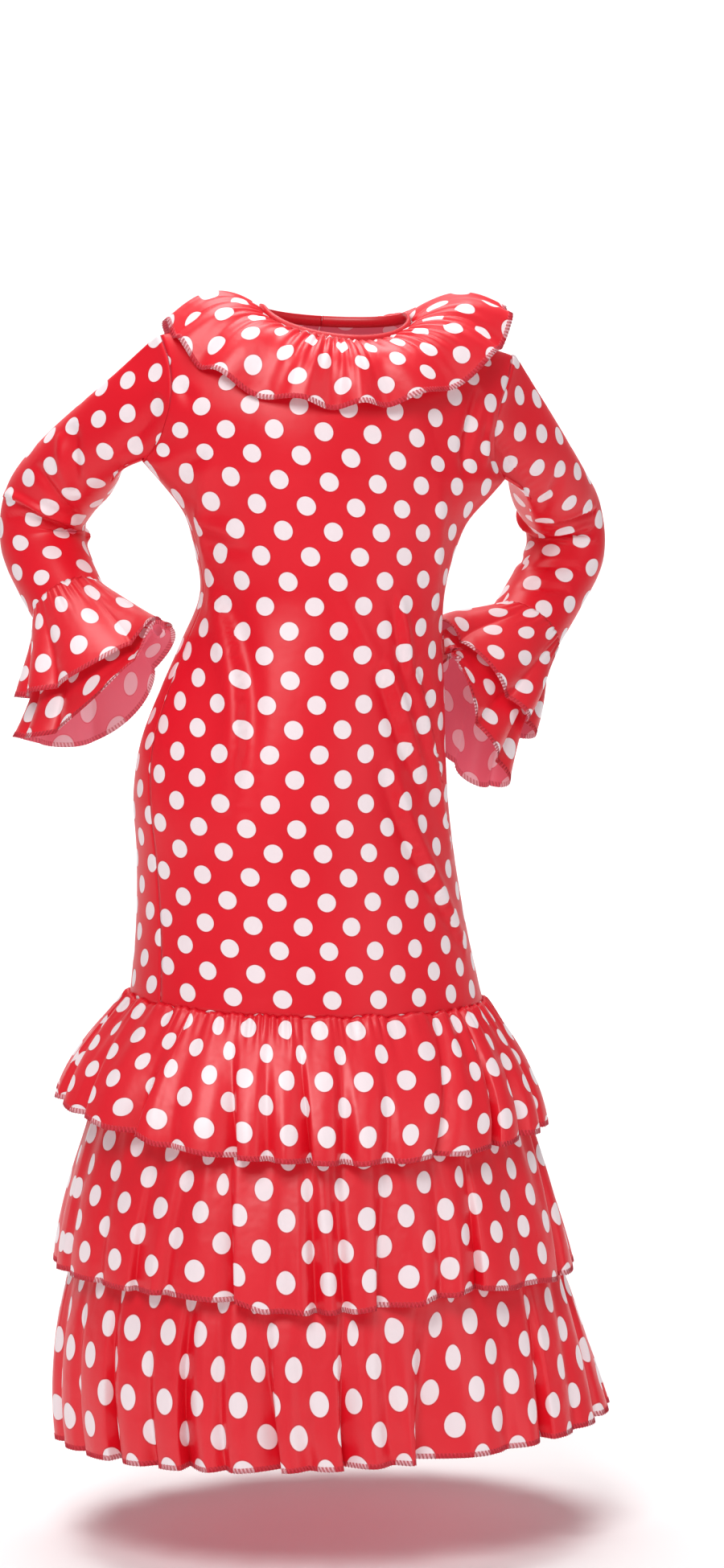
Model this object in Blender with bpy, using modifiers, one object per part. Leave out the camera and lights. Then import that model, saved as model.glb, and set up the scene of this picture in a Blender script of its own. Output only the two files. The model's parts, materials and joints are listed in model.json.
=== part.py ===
# A child's long flamenco dress, hollow and open, as it hangs on a figure with its hands on its hips.
# Metres, +Z up, front towards -Y. The origin is the middle of the neck at the height of the shoulders.
# Left and right are the wearer's: right is at -X. Each piece of cloth is an inner surface, worked out
# from the sizes below, that a Solidify modifier thickens outwards.

import math
from collections import namedtuple

import bpy
import numpy as np

WALL = 0.0014
BINDING_WALL = 0.0024
SEAM_GAP = 0.0004
LAP = WALL + SEAM_GAP
FLOUNCE_SEAM = 0.0013

# Heights of the underarm and of the seam above the flounces.
UNDERARM = -0.125
KNEE = -0.545

# Neck, shoulders and chest. The roll is how quickly the cloth turns over the shoulder line, and the
# chest's fullness settles in over the height above the underarm by the power CHEST_EASE.
NECK_HALF_WIDTH = 0.062
NECK_SIDE_HEIGHT = -0.004
FRONT_NECK_DROP = 0.020
BACK_NECK_DROP = 0.007
SHOULDER_HALF_WIDTH = 0.1425
SHOULDER_SLOPE = 0.28
SHOULDER_ROLL = 0.6
CHEST_HALF_WIDTH = 0.1462
CHEST_EASE = 3

# The binding stands just inside the neckline, its foot below it, leaning in by BINDING_LEAN.
BINDING_HEIGHT = 0.0085
BINDING_FOOT = 0.001
BINDING_LEAN = 0.2
BINDING_SIDES = 44

# The strip that closes the centre back, inside it.
PLACKET_HALF_WIDTH = 0.012
PLACKET_TOP = -0.016
PLACKET_LENGTH = 0.19
PLACKET_INSET = 0.0022
PLACKET_ROWS = 10
PLACKET_COLUMNS = 4

FRONT_COLUMNS = 24
BACK_COLUMNS = 12
UPPER_ROWS = 10
RING_SIDES = 2 * UPPER_ROWS
SMALL_STEP = 0.01

SATIN_RED = (0.76, 0.022, 0.034)
BINDING_RED = (0.62, 0.008, 0.016)
SATIN_ROUGHNESS = 0.35

# Gathered cloth: the waves round a ring are spread unevenly by these sines of the angle round it, and
# their valleys are narrower than their crests by the power VALLEY_SHAPE.
Spread = namedtuple("Spread", "times share start")
CUFF_SPREAD = [Spread(2, 0.18, 1.0), Spread(3, 0.27, 0.0)]
COLLAR_SPREAD = [Spread(2, 0.12, 0.6), Spread(5, 0.30, 0.0)]
VALLEY_SHAPE = 0.8
WAVE_GROWTH = 1.2

# Body sections from knee to underarm: half width, half depth, the wing that the raised sleeve pulls
# out of each side, sideways place and turn in degrees. Seams: how far round from the centre front each
# side seam lies, in degrees. Tilt: rise per metre of x.
Section = namedtuple("Section", "height half_width half_depth wing centre turn right_seam left_seam tilt")
BODY = [
    Section(KNEE, 0.1445, 0.1215, 0.000, -0.022, 16.0, 80, 92, -0.042),
    Section(-0.490, 0.1350, 0.1135, 0.000, -0.026, 14.5, 81, 92, -0.035),
    Section(-0.430, 0.1286, 0.1085, 0.000, -0.031, 13.0, 83, 92, -0.025),
    Section(-0.380, 0.1268, 0.1060, 0.000, -0.035, 12.0, 84, 92, -0.018),
    Section(-0.340, 0.1225, 0.1020, 0.000, -0.033, 10.0, 86, 92, -0.010),
    Section(-0.300, 0.1140, 0.0950, 0.000, -0.026, 7.5, 88, 91, -0.004),
    Section(-0.260, 0.1040, 0.0865, 0.000, -0.018, 5.5, 89, 91, 0.000),
    Section(-0.220, 0.0970, 0.0810, 0.000, -0.009, 3.5, 90, 90, 0.000),
    Section(-0.185, 0.1030, 0.0820, 0.001, -0.007, 2.0, 90, 90, -0.020),
    Section(-0.160, 0.1090, 0.0840, 0.005, -0.006, 1.0, 90, 90, -0.040),
    Section(-0.140, 0.1140, 0.0855, 0.017, -0.006, 0.0, 90, 90, -0.052),
    Section(UNDERARM, 0.1165, 0.0865, 0.0285, -0.007, 0.0, 90, 90, -0.058),
]
WING_SHARPNESS = 7

# The armhole's half span from the middle of the chest, by its rise from underarm (0) to shoulder (1).
Armhole = namedtuple("Armhole", "rise half_span centre")
ARMHOLE = [
    Armhole(0.00, 0.1450, -0.007),
    Armhole(0.12, 0.1375, -0.008),
    Armhole(0.35, 0.1320, -0.008),
    Armhole(0.60, 0.1320, -0.004),
    Armhole(0.82, 0.1370, 0.001),
    Armhole(1.00, 0.1425, 0.003),
]

# The collar: its outer edge, the way it stands off the body at the front or back (in x, y, z) and the
# extra rise on the shoulders, how far it arches up, fullest by ARCH_PLACE, and its waves.
COLLAR_CENTRE = 0.004
COLLAR_HALF_WIDTH = 0.138
COLLAR_FRONT_REACH = 0.090
COLLAR_BACK_REACH = 0.086
COLLAR_EDGE_HEIGHT = 0.001
COLLAR_FRONT_DROP = 0.072
COLLAR_BACK_DROP = 0.060
COLLAR_TILT = 0.05
COLLAR_STAND = (0.3, 0.75, 0.5)
COLLAR_SHOULDER_RISE = 0.4
COLLAR_ARCH = 0.011
COLLAR_SHOULDER_ARCH = 0.5
ARCH_PLACE = 0.8
COLLAR_WAVES = 14
COLLAR_WAVE_HEIGHT = 0.0055
COLLAR_WAVE_SIDES = 5
COLLAR_ROWS = 4

# The middle of each sleeve from the armhole to the cuff seam, and the sleeve's radius there.
ArmPoint = namedtuple("ArmPoint", "x y z radius")
RIGHT_ARM = [
    ArmPoint(-0.140, 0.005, -0.070, 0.040),
    ArmPoint(-0.166, 0.034, -0.091, 0.034),
    ArmPoint(-0.188, 0.084, -0.121, 0.034),
    ArmPoint(-0.206, 0.122, -0.152, 0.034),
    ArmPoint(-0.210, 0.126, -0.185, 0.033),
    ArmPoint(-0.204, 0.105, -0.212, 0.031),
    ArmPoint(-0.197, 0.080, -0.234, 0.0295),
]
LEFT_ARM = [
    ArmPoint(0.143, 0.005, -0.086, 0.040),
    ArmPoint(0.173, 0.036, -0.111, 0.033),
    ArmPoint(0.201, 0.086, -0.143, 0.031),
    ArmPoint(0.223, 0.122, -0.168, 0.031),
    ArmPoint(0.226, 0.124, -0.200, 0.031),
    ArmPoint(0.205, 0.106, -0.231, 0.030),
    ArmPoint(0.178, 0.080, -0.261, 0.030),
]
SLEEVE_RINGS = 14
ARMHOLE_REACH = 0.38
ARMHOLE_TURN = 0.003
ELBOW_SPREAD = 0.15
# The sleeve's inner side faces down at the armhole and towards the body at the cuff (for the left arm).
UNDERARM_WAY = (-0.15, -0.20, -0.95)
WRIST_WAY = (-0.76, -0.46, 0.46)

# The form both tiers of a cuff follow: the middle of a ring, its radius towards the body, its radius
# towards the front, and how it sags between them. 0 is the cuff seam, 1 the upper tier's hem, and the
# last ring the lower tier's hem.
CuffRing = namedtuple("CuffRing", "place middle inward forward sag")
CUFF_RINGS = {
    "right": [
        CuffRing(1.0, (-0.187, 0.031, -0.277), (0.047, -0.029, 0.029), (-0.019, -0.040, 0.005),
                 (0.0, 0.0, -0.013)),
        CuffRing(1.4, (-0.188, 0.025, -0.292), (0.050, -0.034, 0.046), (-0.021, -0.041, 0.009),
                 (0.0, 0.0, -0.033)),
    ],
    "left": [
        CuffRing(1.0, (0.131, 0.040, -0.299), (-0.034, 0.002, 0.0405), (0.0045, -0.041, 0.013),
                 (-0.008, 0.001, -0.008)),
        CuffRing(1.4, (0.121, 0.014, -0.3255), (-0.022, -0.010, 0.0515), (-0.003, -0.039, 0.023),
                 (-0.015, 0.006, -0.0065)),
    ],
}
CUFF_WAVES = 7
CUFF_WAVE_HEIGHT = 0.010
CUFF_SIDES = 5 * CUFF_WAVES
CUFF_PLACES = (0.0, 0.33, 0.67, 1.0)
# The lower tier lies this far inside the upper one, and twice that half way down.
CUFF_INSET = 0.0024

# Flounces: the level, half width and half depth of the top ring and of the hem's valleys, where the
# hem hangs, its tilt, how fast the flare comes, the height of the waves at the sides and front, and
# how many folds there are round the back besides those of the table below.
Flounce = namedtuple("Flounce", "top top_width top_depth top_centre top_tilt hem width depth centre"
                                " tilt front_drop flare side_wave front_wave back_folds")
FLOUNCES = {
    "flounce_top": Flounce(KNEE, 0.1445, 0.1215, -0.022, -0.042, -0.6475, 0.1895, 0.162, -0.026,
                           -0.060, 0.006, 1.8, 0.012, 0.015, 14),
    "flounce_middle": Flounce(-0.622, 0.1712, 0.1445, -0.021, -0.020, -0.766, 0.2035, 0.177, -0.016,
                              0.000, 0.000, 1.5, 0.009, 0.014, 14),
    "flounce_bottom": Flounce(-0.735, 0.1912, 0.1635, -0.017, 0.000, -0.8855, 0.2165, 0.1875, -0.001,
                              0.020, -0.003, 2.0, 0.012, 0.015, 16),
}
FLOUNCE_TURN = 16.0
FLOUNCE_ROWS = 3

# The folds of the flounces, from the wearer's right round the front to the left. Hem and seam: where
# the valley lies there, in degrees from the centre front. Depth: its share of the wave height. Width:
# degrees from the valley to its lips. Lean: how far its floor lies under the left lip, in degrees.
# Rise: how much the hem is lifted.
Fold = namedtuple("Fold", "hem seam depth width lean rise")
FOLDS = {
    "flounce_top": [
        Fold(-104, -106, 0.6, 3.5, 0.0, 0.014), Fold(-90, -92, 0.7, 3.5, 1.0, 0.011),
        Fold(-72, -69, 1.0, 4.5, 2.5, 0.007), Fold(-58, -61, 0.4, 3.5, 0.0, 0.002),
        Fold(-44, -49, 1.0, 3.5, 3.0, 0.000), Fold(-34, -38, 0.6, 2.5, 0.0, 0.000),
        Fold(-26, -29, 0.9, 2.5, 2.5, 0.000), Fold(-16, -17, 0.8, 3.0, 0.0, 0.000),
        Fold(-6, -4, 0.5, 3.0, 0.0, 0.002), Fold(8, 19, 0.7, 3.5, -2.0, 0.006),
        Fold(24, 31, 0.9, 2.5, 3.5, 0.009), Fold(38, 43, 0.9, 4.0, 0.0, 0.012),
        Fold(52, 54, 0.6, 3.5, 0.0, 0.012),
    ],
    "flounce_middle": [
        Fold(-98, -98, 0.6, 3.5, 0.0, 0.014), Fold(-82, -81, 0.6, 3.5, 0.0, 0.014),
        Fold(-68, -66, 0.8, 3.0, -2.5, 0.013), Fold(-60, -56, 0.6, 2.5, -1.0, 0.013),
        Fold(-46, -46, 1.0, 2.5, 2.5, 0.011), Fold(-34, -32, 0.4, 3.0, 0.0, 0.003),
        Fold(-26, -25, 0.9, 2.0, 0.0, 0.002), Fold(-20, -19, 0.8, 2.0, 0.0, 0.002),
        Fold(-9, -5, 1.0, 4.5, -4.0, 0.004), Fold(2, 8, 0.5, 2.5, 0.0, 0.008),
        Fold(10, 18, 0.9, 2.5, 3.0, 0.010), Fold(26, 34, 0.3, 4.0, 0.0, 0.006),
        Fold(44, 58, 0.8, 3.5, 2.0, 0.002),
    ],
    "flounce_bottom": [
        Fold(-102, -103, 0.6, 3.0, 0.0, 0.000), Fold(-90, -92, 0.6, 3.0, 0.0, 0.000),
        Fold(-76, -77, 1.0, 2.5, -3.0, 0.000), Fold(-66, -65, 0.6, 2.5, 0.0, 0.000),
        Fold(-56, -54, 1.0, 2.5, -3.0, 0.000), Fold(-49, -46, 0.5, 2.0, 0.0, 0.000),
        Fold(-40, -38, 1.0, 3.5, 4.0, 0.000), Fold(-31, -29, 0.4, 2.5, 0.0, 0.000),
        Fold(-22, -18, 0.9, 2.5, -2.5, 0.000), Fold(-14, -10, 0.4, 2.5, 0.0, 0.000),
        Fold(-4, 4, 1.0, 6.0, -5.0, 0.000), Fold(12, 21, 0.3, 3.0, 0.0, 0.000),
        Fold(22, 34, 0.8, 2.5, 3.0, 0.000), Fold(34, 48, 0.3, 3.0, 0.0, 0.000),
        Fold(46, 62, 0.8, 3.0, 0.0, 0.000),
    ],
}
# The lips stand at this share of the wave height, and the cloth between two folds at the whole of it.
FOLD_LIP = 0.85
# Folds round the back vary about these: depth, width and lean, each with its swing and its pace.
Sway = namedtuple("Sway", "middle swing pace")
BACK_PLACE = Sway(0.0, 2.0, 2.4)
BACK_DEPTH = Sway(0.7, 0.3, 1.7)
BACK_WIDTH = Sway(3.0, 1.0, 4.1)
BACK_LEAN = Sway(0.0, 2.5, 2.9)

# The skirt base: the inner tube, from inside the knee seam down, that the two lower flounces hang on.
BaseRing = namedtuple("BaseRing", "height half_width half_depth centre tilt")
SKIRT_BASE = [
    BaseRing(-0.743, 0.1898, 0.1622, -0.017, 0.000),
    BaseRing(-0.622, 0.1689, 0.1422, -0.021, -0.020),
    BaseRing(KNEE, 0.1422, 0.1192, -0.022, -0.042),
    BaseRing(-0.538, 0.1408, 0.1180, -0.0223, -0.041),
]
BASE_SIDES = 44


def read_rows(rows, place):
    # The columns after the first, eased smoothly between rows, at a place in the first column.
    table = np.array(rows, float)
    if table[0, 0] > table[-1, 0]:
        table = table[::-1]
    keys = table[:, 0]
    slopes = np.gradient(table, keys, axis=0)
    low = int(np.clip(np.searchsorted(keys, place) - 1, 0, len(keys) - 2))
    step = keys[low + 1] - keys[low]
    t = float(np.clip((place - keys[low]) / step, 0.0, 1.0))
    value = ((1 + 2 * t) * (1 - t) ** 2 * table[low] + t * (1 - t) ** 2 * step * slopes[low]
             + t * t * (3 - 2 * t) * table[low + 1] + t * t * (t - 1) * step * slopes[low + 1])
    return value[1:]


def unit(vector):
    return np.asarray(vector, float) / np.linalg.norm(vector)


def turned(across, along, degrees):
    turn = math.radians(degrees)
    return (across * math.cos(turn) - along * math.sin(turn),
            across * math.sin(turn) + along * math.cos(turn))


def body_point(height, angle, inset=0.0):
    # A point of the body below the underarm; angle 0 is the centre front, +90 the wearer's left side.
    half_width, half_depth, wing, centre, turn, _, _, tilt = read_rows(BODY, height)
    across = (half_width - inset) * math.sin(angle) + wing * math.sin(angle) ** WING_SHARPNESS
    x, y = turned(across, -(half_depth - inset) * math.cos(angle), turn)
    x += centre
    return np.array((x, y, height + tilt * x))


def ridge(x):
    # The height of the shoulder line, carried on across the neck.
    return NECK_SIDE_HEIGHT - SHOULDER_SLOPE * (abs(x) - NECK_HALF_WIDTH)


def armhole_outline(side, rise):
    half_span, centre = read_rows(ARMHOLE, rise)
    top = ridge(SHOULDER_HALF_WIDTH)
    return np.array((centre + side * half_span, UNDERARM + (top - UNDERARM) * rise))


def top_outline(s, neck_drop):
    # Neckline for |s| under a half, shoulder seam beyond it.
    if abs(s) <= 0.5:
        swing = math.pi * s
        x = NECK_HALF_WIDTH * math.sin(swing)
        return np.array((x, NECK_SIDE_HEIGHT - neck_drop * math.cos(swing)))
    along = (abs(s) - 0.5) / 0.5
    tip = armhole_outline(math.copysign(1.0, s), 1.0)
    neck = np.array((math.copysign(NECK_HALF_WIDTH, s), NECK_SIDE_HEIGHT))
    return neck + (tip - neck) * along


def upper_point(face, s, rise):
    # A point above the underarm; face is -1 for the front and +1 for the back, s runs across it.
    neck_drop = FRONT_NECK_DROP if face < 0 else BACK_NECK_DROP
    chest = BODY[-1]
    swing = math.sin(s * math.pi / 2)
    low_x = chest.centre + chest.half_width * swing + chest.wing * swing ** WING_SHARPNESS
    low = np.array((low_x, UNDERARM))
    high = top_outline(s, neck_drop)
    across = (s + 1) / 2
    sides = [armhole_outline(side, rise) for side in (-1, 1)]
    low_corners = [armhole_outline(side, 0) for side in (-1, 1)]
    high_corners = [armhole_outline(side, 1) for side in (-1, 1)]
    x, z = ((1 - rise) * low + rise * high + (1 - across) * sides[0] + across * sides[1]
            - (1 - rise) * ((1 - across) * low_corners[0] + across * low_corners[1])
            - rise * ((1 - across) * high_corners[0] + across * high_corners[1]))
    centre = (sides[0][0] + sides[1][0]) / 2
    below = np.clip((ridge(x) - z) / (ridge(x) - UNDERARM), 0.0, 1.0)
    roll = (below * (2 - below)) ** SHOULDER_ROLL
    bulge = math.sqrt(max(0.0, 1 - ((x - centre) / CHEST_HALF_WIDTH) ** 2))
    low_bulge = math.cos(s * math.pi / 2)
    bulge = bulge + (low_bulge - bulge) * (1 - rise) ** CHEST_EASE
    depth = chest.half_depth * bulge * roll + SEAM_GAP / 2
    return np.array((x, face * depth, z + chest.tilt * x))


def upper_rises():
    return [math.sin(math.pi / 2 * row / UPPER_ROWS) for row in range(UPPER_ROWS + 1)]


def seam_angle(height, s):
    # How far round the side seam lies, less half the seam's gap.
    row = read_rows(BODY, height)
    return math.radians(row[5] if s < 0 else row[6]) - SEAM_GAP / 2 / row[0]


def panel_grid(face, columns):
    grid = []
    for height in [row.height for row in BODY[:-1]]:
        line = []
        for s in columns:
            seam = seam_angle(height, s)
            angle = s * seam
            if face > 0:
                span = math.pi - seam - SEAM_GAP / row_width(height)
                angle = math.copysign(math.pi - abs(s) * span, s)
            line.append(body_point(height, angle))
        grid.append(line)
    for rise in upper_rises():
        grid.append([upper_point(face, s, rise) for s in columns])
    return np.array(grid)


def row_width(height):
    return read_rows(BODY, height)[0]


def front_columns():
    inset = 1 - SEAM_GAP / 2 / BODY[-1].half_width
    return np.linspace(-inset, inset, FRONT_COLUMNS + 1)


def back_columns(side):
    inset = 1 - SEAM_GAP / 2 / BODY[-1].half_width
    return side * np.linspace(SEAM_GAP / BODY[-1].half_width / 2, inset, BACK_COLUMNS + 1)


def spread(angle, table):
    # The angle moved on unevenly round a ring.
    return angle + sum(row.share / row.times * math.sin(row.times * angle + row.start) for row in table)


def crest(waves):
    # 0 in a valley, at a whole number of waves, and 1 on a crest.
    return abs(math.sin(math.pi * waves)) ** VALLEY_SHAPE


def neck_point(angle):
    # A point of the neckline and the level way in from it to the neck; angle 0 is the front.
    face = -1 if math.cos(angle) >= 0 else 1
    point = upper_point(face, math.asin(math.sin(angle)) / math.pi, 1.0)
    return point, unit((-math.sin(angle), math.cos(angle), 0))


def around_neck(count):
    # Angles once round the neck, open by a seam's gap at the centre back.
    gap = SEAM_GAP / NECK_HALF_WIDTH
    return np.linspace(-math.pi + gap, math.pi - gap, count + 1)


def binding_grid():
    rows = [[], []]
    for angle in around_neck(BINDING_SIDES):
        point, inward = neck_point(angle)
        foot = point + inward * (BINDING_WALL + 3 * SEAM_GAP) - np.array((0, 0, BINDING_FOOT))
        rows[0].append(foot)
        rows[1].append(foot + unit(inward * BINDING_LEAN + np.array((0, 0, 1))) * BINDING_HEIGHT)
    return np.array(rows)


def collar_point(angle, out):
    # out is 0 at the neckline and 1 at the hem.
    point, _ = neck_point(angle)
    front = math.cos(angle) >= 0
    reach = COLLAR_FRONT_REACH if front else COLLAR_BACK_REACH
    drop = COLLAR_FRONT_DROP if front else COLLAR_BACK_DROP
    edge_x = COLLAR_CENTRE + COLLAR_HALF_WIDTH * math.sin(angle)
    edge = np.array((edge_x, -reach * math.cos(angle),
                     COLLAR_EDGE_HEIGHT + COLLAR_TILT * edge_x - drop * abs(math.cos(angle))))
    shoulder = math.sin(angle) ** 2
    outward = unit((COLLAR_STAND[0] * math.sin(angle), -COLLAR_STAND[1] * math.cos(angle),
                    COLLAR_STAND[2] + COLLAR_SHOULDER_RISE * shoulder))
    start = point + outward * (LAP + SEAM_GAP)
    arch = COLLAR_ARCH * (1 + COLLAR_SHOULDER_ARCH * shoulder) * math.sin(math.pi * out ** ARCH_PLACE)
    wave = COLLAR_WAVE_HEIGHT * out ** WAVE_GROWTH * math.cos(COLLAR_WAVES * spread(angle, COLLAR_SPREAD))
    return start + (edge - start) * out + outward * (arch + wave)


def collar_grid():
    angles = around_neck(COLLAR_WAVES * COLLAR_WAVE_SIDES)
    return np.array([[collar_point(angle, row / COLLAR_ROWS) for angle in angles]
                     for row in range(COLLAR_ROWS, -1, -1)])


def arm_frame(arm, along):
    # Middle, radius and the inner, forward and lengthwise directions of a sleeve at a fraction along.
    rows = [(step / (len(arm) - 1),) + tuple(point) for step, point in enumerate(arm)]
    here = read_rows(rows, along)
    back = read_rows(rows, max(0.0, along - ELBOW_SPREAD))
    ahead = read_rows(rows, min(1.0, along + ELBOW_SPREAD))
    way = unit(ahead[:3] - back[:3])
    side = math.copysign(1.0, arm[0].x)
    under = np.array(UNDERARM_WAY) * (1 - along) + np.array(WRIST_WAY) * along
    under *= (side, 1, 1)
    under = unit(under - way * under.dot(way))
    forward = np.cross(under, way) * side
    return here[:3], here[3], under, forward, way


def armhole_loop(side):
    # Once round the armhole from the underarm up the front, over the shoulder and down the back.
    s = side * front_columns()[-1]
    rises = upper_rises()
    front = [upper_point(-1, s, rise) for rise in rises]
    back = [upper_point(1, s, rise) for rise in rises]
    loop = [(front[0] + back[0]) / 2] + front[1:-1] + [(front[-1] + back[-1]) / 2] + back[-2:0:-1]
    return np.array(loop)


def armhole_run(side):
    # The way the body's cloth runs out into the armhole at each point of the loop.
    s = side * front_columns()[-1]
    inner = [[upper_point(face, 0.96 * s, rise) for rise in upper_rises()] for face in (-1, 1)]
    below = body_point(BODY[-2].height, side * math.pi / 2)
    ring = [below] + inner[0][1:-1] + [(inner[0][-1] + inner[1][-1]) / 2] + inner[1][-2:0:-1]
    run = armhole_loop(side) - np.array(ring)
    run /= np.linalg.norm(run, axis=1)[:, None]
    run += (np.roll(run, 1, axis=0) + np.roll(run, -1, axis=0)) / 2
    return run / np.linalg.norm(run, axis=1)[:, None]


def sleeve_grid(arm):
    # The body's cloth runs on through the seam for a short way before it turns down the arm.
    side = math.copysign(1.0, arm[0].x)
    loop = armhole_loop(side)
    run = armhole_run(side)
    turns = 2 * math.pi * np.arange(RING_SIDES) / RING_SIDES
    rings = []
    for ring in range(SLEEVE_RINGS + 1):
        along = ring / SLEEVE_RINGS
        middle, radius, under, forward, _ = arm_frame(arm, along)
        rings.append([middle + radius * (under * math.cos(turn) + forward * math.sin(turn))
                      for turn in turns])
    rings = np.array(rings)
    shift = loop + run * ARMHOLE_TURN - rings[0]
    for ring in range(SLEEVE_RINGS + 1):
        fade = max(0.0, 1 - ring / SLEEVE_RINGS / ARMHOLE_REACH)
        rings[ring] += shift * fade * fade * (3 - 2 * fade)
    return np.concatenate(([loop + run * 2 * SEAM_GAP], rings))


def cuff_form(side, place, turn):
    arm = RIGHT_ARM if side == "right" else LEFT_ARM
    middle, radius, under, forward, way = arm_frame(arm, 1.0)
    rows = [(0.0, *(middle + way * SEAM_GAP), *(radius * under), *(radius * forward), 0, 0, 0)]
    rows += [(ring.place, *ring.middle, *ring.inward, *ring.forward, *ring.sag)
             for ring in CUFF_RINGS[side]]
    values = read_rows(rows, place).reshape(4, 3)
    return values.T.dot((1, math.cos(turn), math.sin(turn), math.sin(turn) ** 2))


def cuff_outward(side, place, turn):
    # Straight out from the seam, and square to the form from a third of the way down.
    middle = (cuff_form(side, place, 0.0) + cuff_form(side, place, math.pi)) / 2
    radial = unit(cuff_form(side, place, turn) - middle)
    run = cuff_form(side, place + SMALL_STEP, turn) - cuff_form(side, place - SMALL_STEP, turn)
    round_way = cuff_form(side, place, turn + SMALL_STEP) - cuff_form(side, place, turn - SMALL_STEP)
    normal = unit(np.cross(round_way, run))
    normal *= math.copysign(1.0, normal.dot(radial))
    return unit(radial + (normal - radial) * min(1.0, place / CUFF_PLACES[1]))


def cuff_grid(tier, side):
    upper = tier == "upper"
    hem = 1.0 if upper else CUFF_RINGS[side][-1].place
    places = CUFF_PLACES if upper else (*CUFF_PLACES, hem)
    grid = []
    for place in places:
        height = CUFF_WAVE_HEIGHT * place / hem
        free = 0.0 if upper else max(0.0, place - 1) / (hem - 1)
        ring = []
        for step in range(CUFF_SIDES):
            turn = 2 * math.pi * step / CUFF_SIDES
            wave = height * crest(CUFF_WAVES * spread(turn, CUFF_SPREAD) / (2 * math.pi))
            if not upper:
                wave += height * (free - 1) - CUFF_INSET * (1 + math.sin(math.pi * min(place, 1)))
            ring.append(cuff_form(side, place, turn) + cuff_outward(side, place, turn) * wave)
        grid.append(ring)
    return np.array(grid)


def swayed(sway, number):
    return sway.middle + sway.swing * math.sin(sway.pace * number)


def back_folds(first, last, count):
    # More of the same round the back, from the last fold of the table to the first.
    made = []
    for number in range(1, count + 1):
        share = number / (count + 1)
        between = Fold(*(low + (high - low) * share for low, high in zip(last, first)))
        made.append(Fold(between.hem + swayed(BACK_PLACE, number), between.seam,
                         swayed(BACK_DEPTH, number), swayed(BACK_WIDTH, number),
                         swayed(BACK_LEAN, number), between.rise))
    return made


def fold_columns(name):
    # Each fold's left lip, floor and right lip, and the middle of the cloth up to the next fold, as
    # angle at the hem, angle at the seam, share of the wave height and rise.
    shown = FOLDS[name]
    first_again = shown[0]._replace(hem=shown[0].hem + 360, seam=shown[0].seam + 360)
    ring = shown + back_folds(first_again, shown[-1], FLOUNCES[name].back_folds)
    columns = []
    for fold, ahead in zip(ring, ring[1:] + [first_again]):
        low = np.array((fold.hem - fold.width, fold.seam - fold.width, FOLD_LIP, fold.rise))
        high = np.array((fold.hem + fold.width, fold.seam + fold.width, FOLD_LIP, fold.rise))
        next_low = np.array((ahead.hem - ahead.width, ahead.seam - ahead.width, FOLD_LIP, ahead.rise))
        middle = (high + next_low) / 2
        middle[2] = 1.0
        floor = np.array((fold.hem + fold.lean, fold.seam, 1 - fold.depth, fold.rise))
        columns += [low, floor, high, middle]
    return columns


def flounce_point(flounce, column, t):
    # t is 0 at the seam and 1 at the hem.
    hem, seam, out, rise = column
    flared = 1 - (1 - t) ** flounce.flare
    half_width = flounce.top_width + (flounce.width - flounce.top_width) * flared
    half_depth = flounce.top_depth + (flounce.depth - flounce.top_depth) * flared
    angle = math.radians(seam + (hem - seam) * t)
    height = flounce.front_wave + (flounce.side_wave - flounce.front_wave) * math.sin(angle) ** 2
    wave = height * t ** WAVE_GROWTH * out
    x, y = turned((half_width + wave) * math.sin(angle), -(half_depth + wave) * math.cos(angle),
                  FLOUNCE_TURN)
    x += flounce.top_centre + (flounce.centre - flounce.top_centre) * t * t
    drop = flounce.top + (flounce.hem - flounce.top + rise) * t
    drop += (flounce.top_tilt + (flounce.tilt - flounce.top_tilt) * t) * x
    return np.array((x, y, drop - flounce.front_drop * t * math.cos(angle)))


def flounce_grid(name):
    columns = fold_columns(name)
    grid = np.array([[flounce_point(FLOUNCES[name], column, row / FLOUNCE_ROWS) for column in columns]
                     for row in range(FLOUNCE_ROWS + 1)])
    if name == "flounce_top":
        grid[0, :, 2] -= FLOUNCE_SEAM
    return grid


def base_grid():
    rows = []
    for ring in SKIRT_BASE:
        line = []
        for side in range(BASE_SIDES):
            angle = 2 * math.pi * side / BASE_SIDES
            x, y = turned(ring.half_width * math.sin(angle), -ring.half_depth * math.cos(angle),
                          FLOUNCE_TURN)
            x += ring.centre
            line.append((x, y, ring.height + ring.tilt * x))
        rows.append(line)
    return np.array(rows)


def back_inside(x, height):
    # A point just inside the back's cloth.
    if height < UNDERARM:
        return body_point(height, math.pi - x / row_width(height), PLACKET_INSET)
    s = math.asin(np.clip(x / CHEST_HALF_WIDTH, -1, 1)) * 2 / math.pi
    rise = (height - UNDERARM) / (-UNDERARM + NECK_SIDE_HEIGHT - BACK_NECK_DROP)
    point = upper_point(1, s, np.clip(rise, 0, 1))
    ahead = upper_point(1, s, np.clip(rise + SMALL_STEP, 0, 1))
    back = upper_point(1, s, np.clip(rise - SMALL_STEP, 0, 1))
    way = unit(ahead - back)
    return point + PLACKET_INSET * np.array((0, -way[2], way[1]))


def placket_grid():
    heights = np.linspace(PLACKET_TOP - PLACKET_LENGTH, PLACKET_TOP, PLACKET_ROWS + 1)
    across = np.linspace(PLACKET_HALF_WIDTH, -PLACKET_HALF_WIDTH, PLACKET_COLUMNS + 1)
    return np.array([[back_inside(x, height) for x in across] for height in heights])


def clear_scene():
    for thing in list(bpy.data.objects):
        bpy.data.objects.remove(thing, do_unlink=True)


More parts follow.
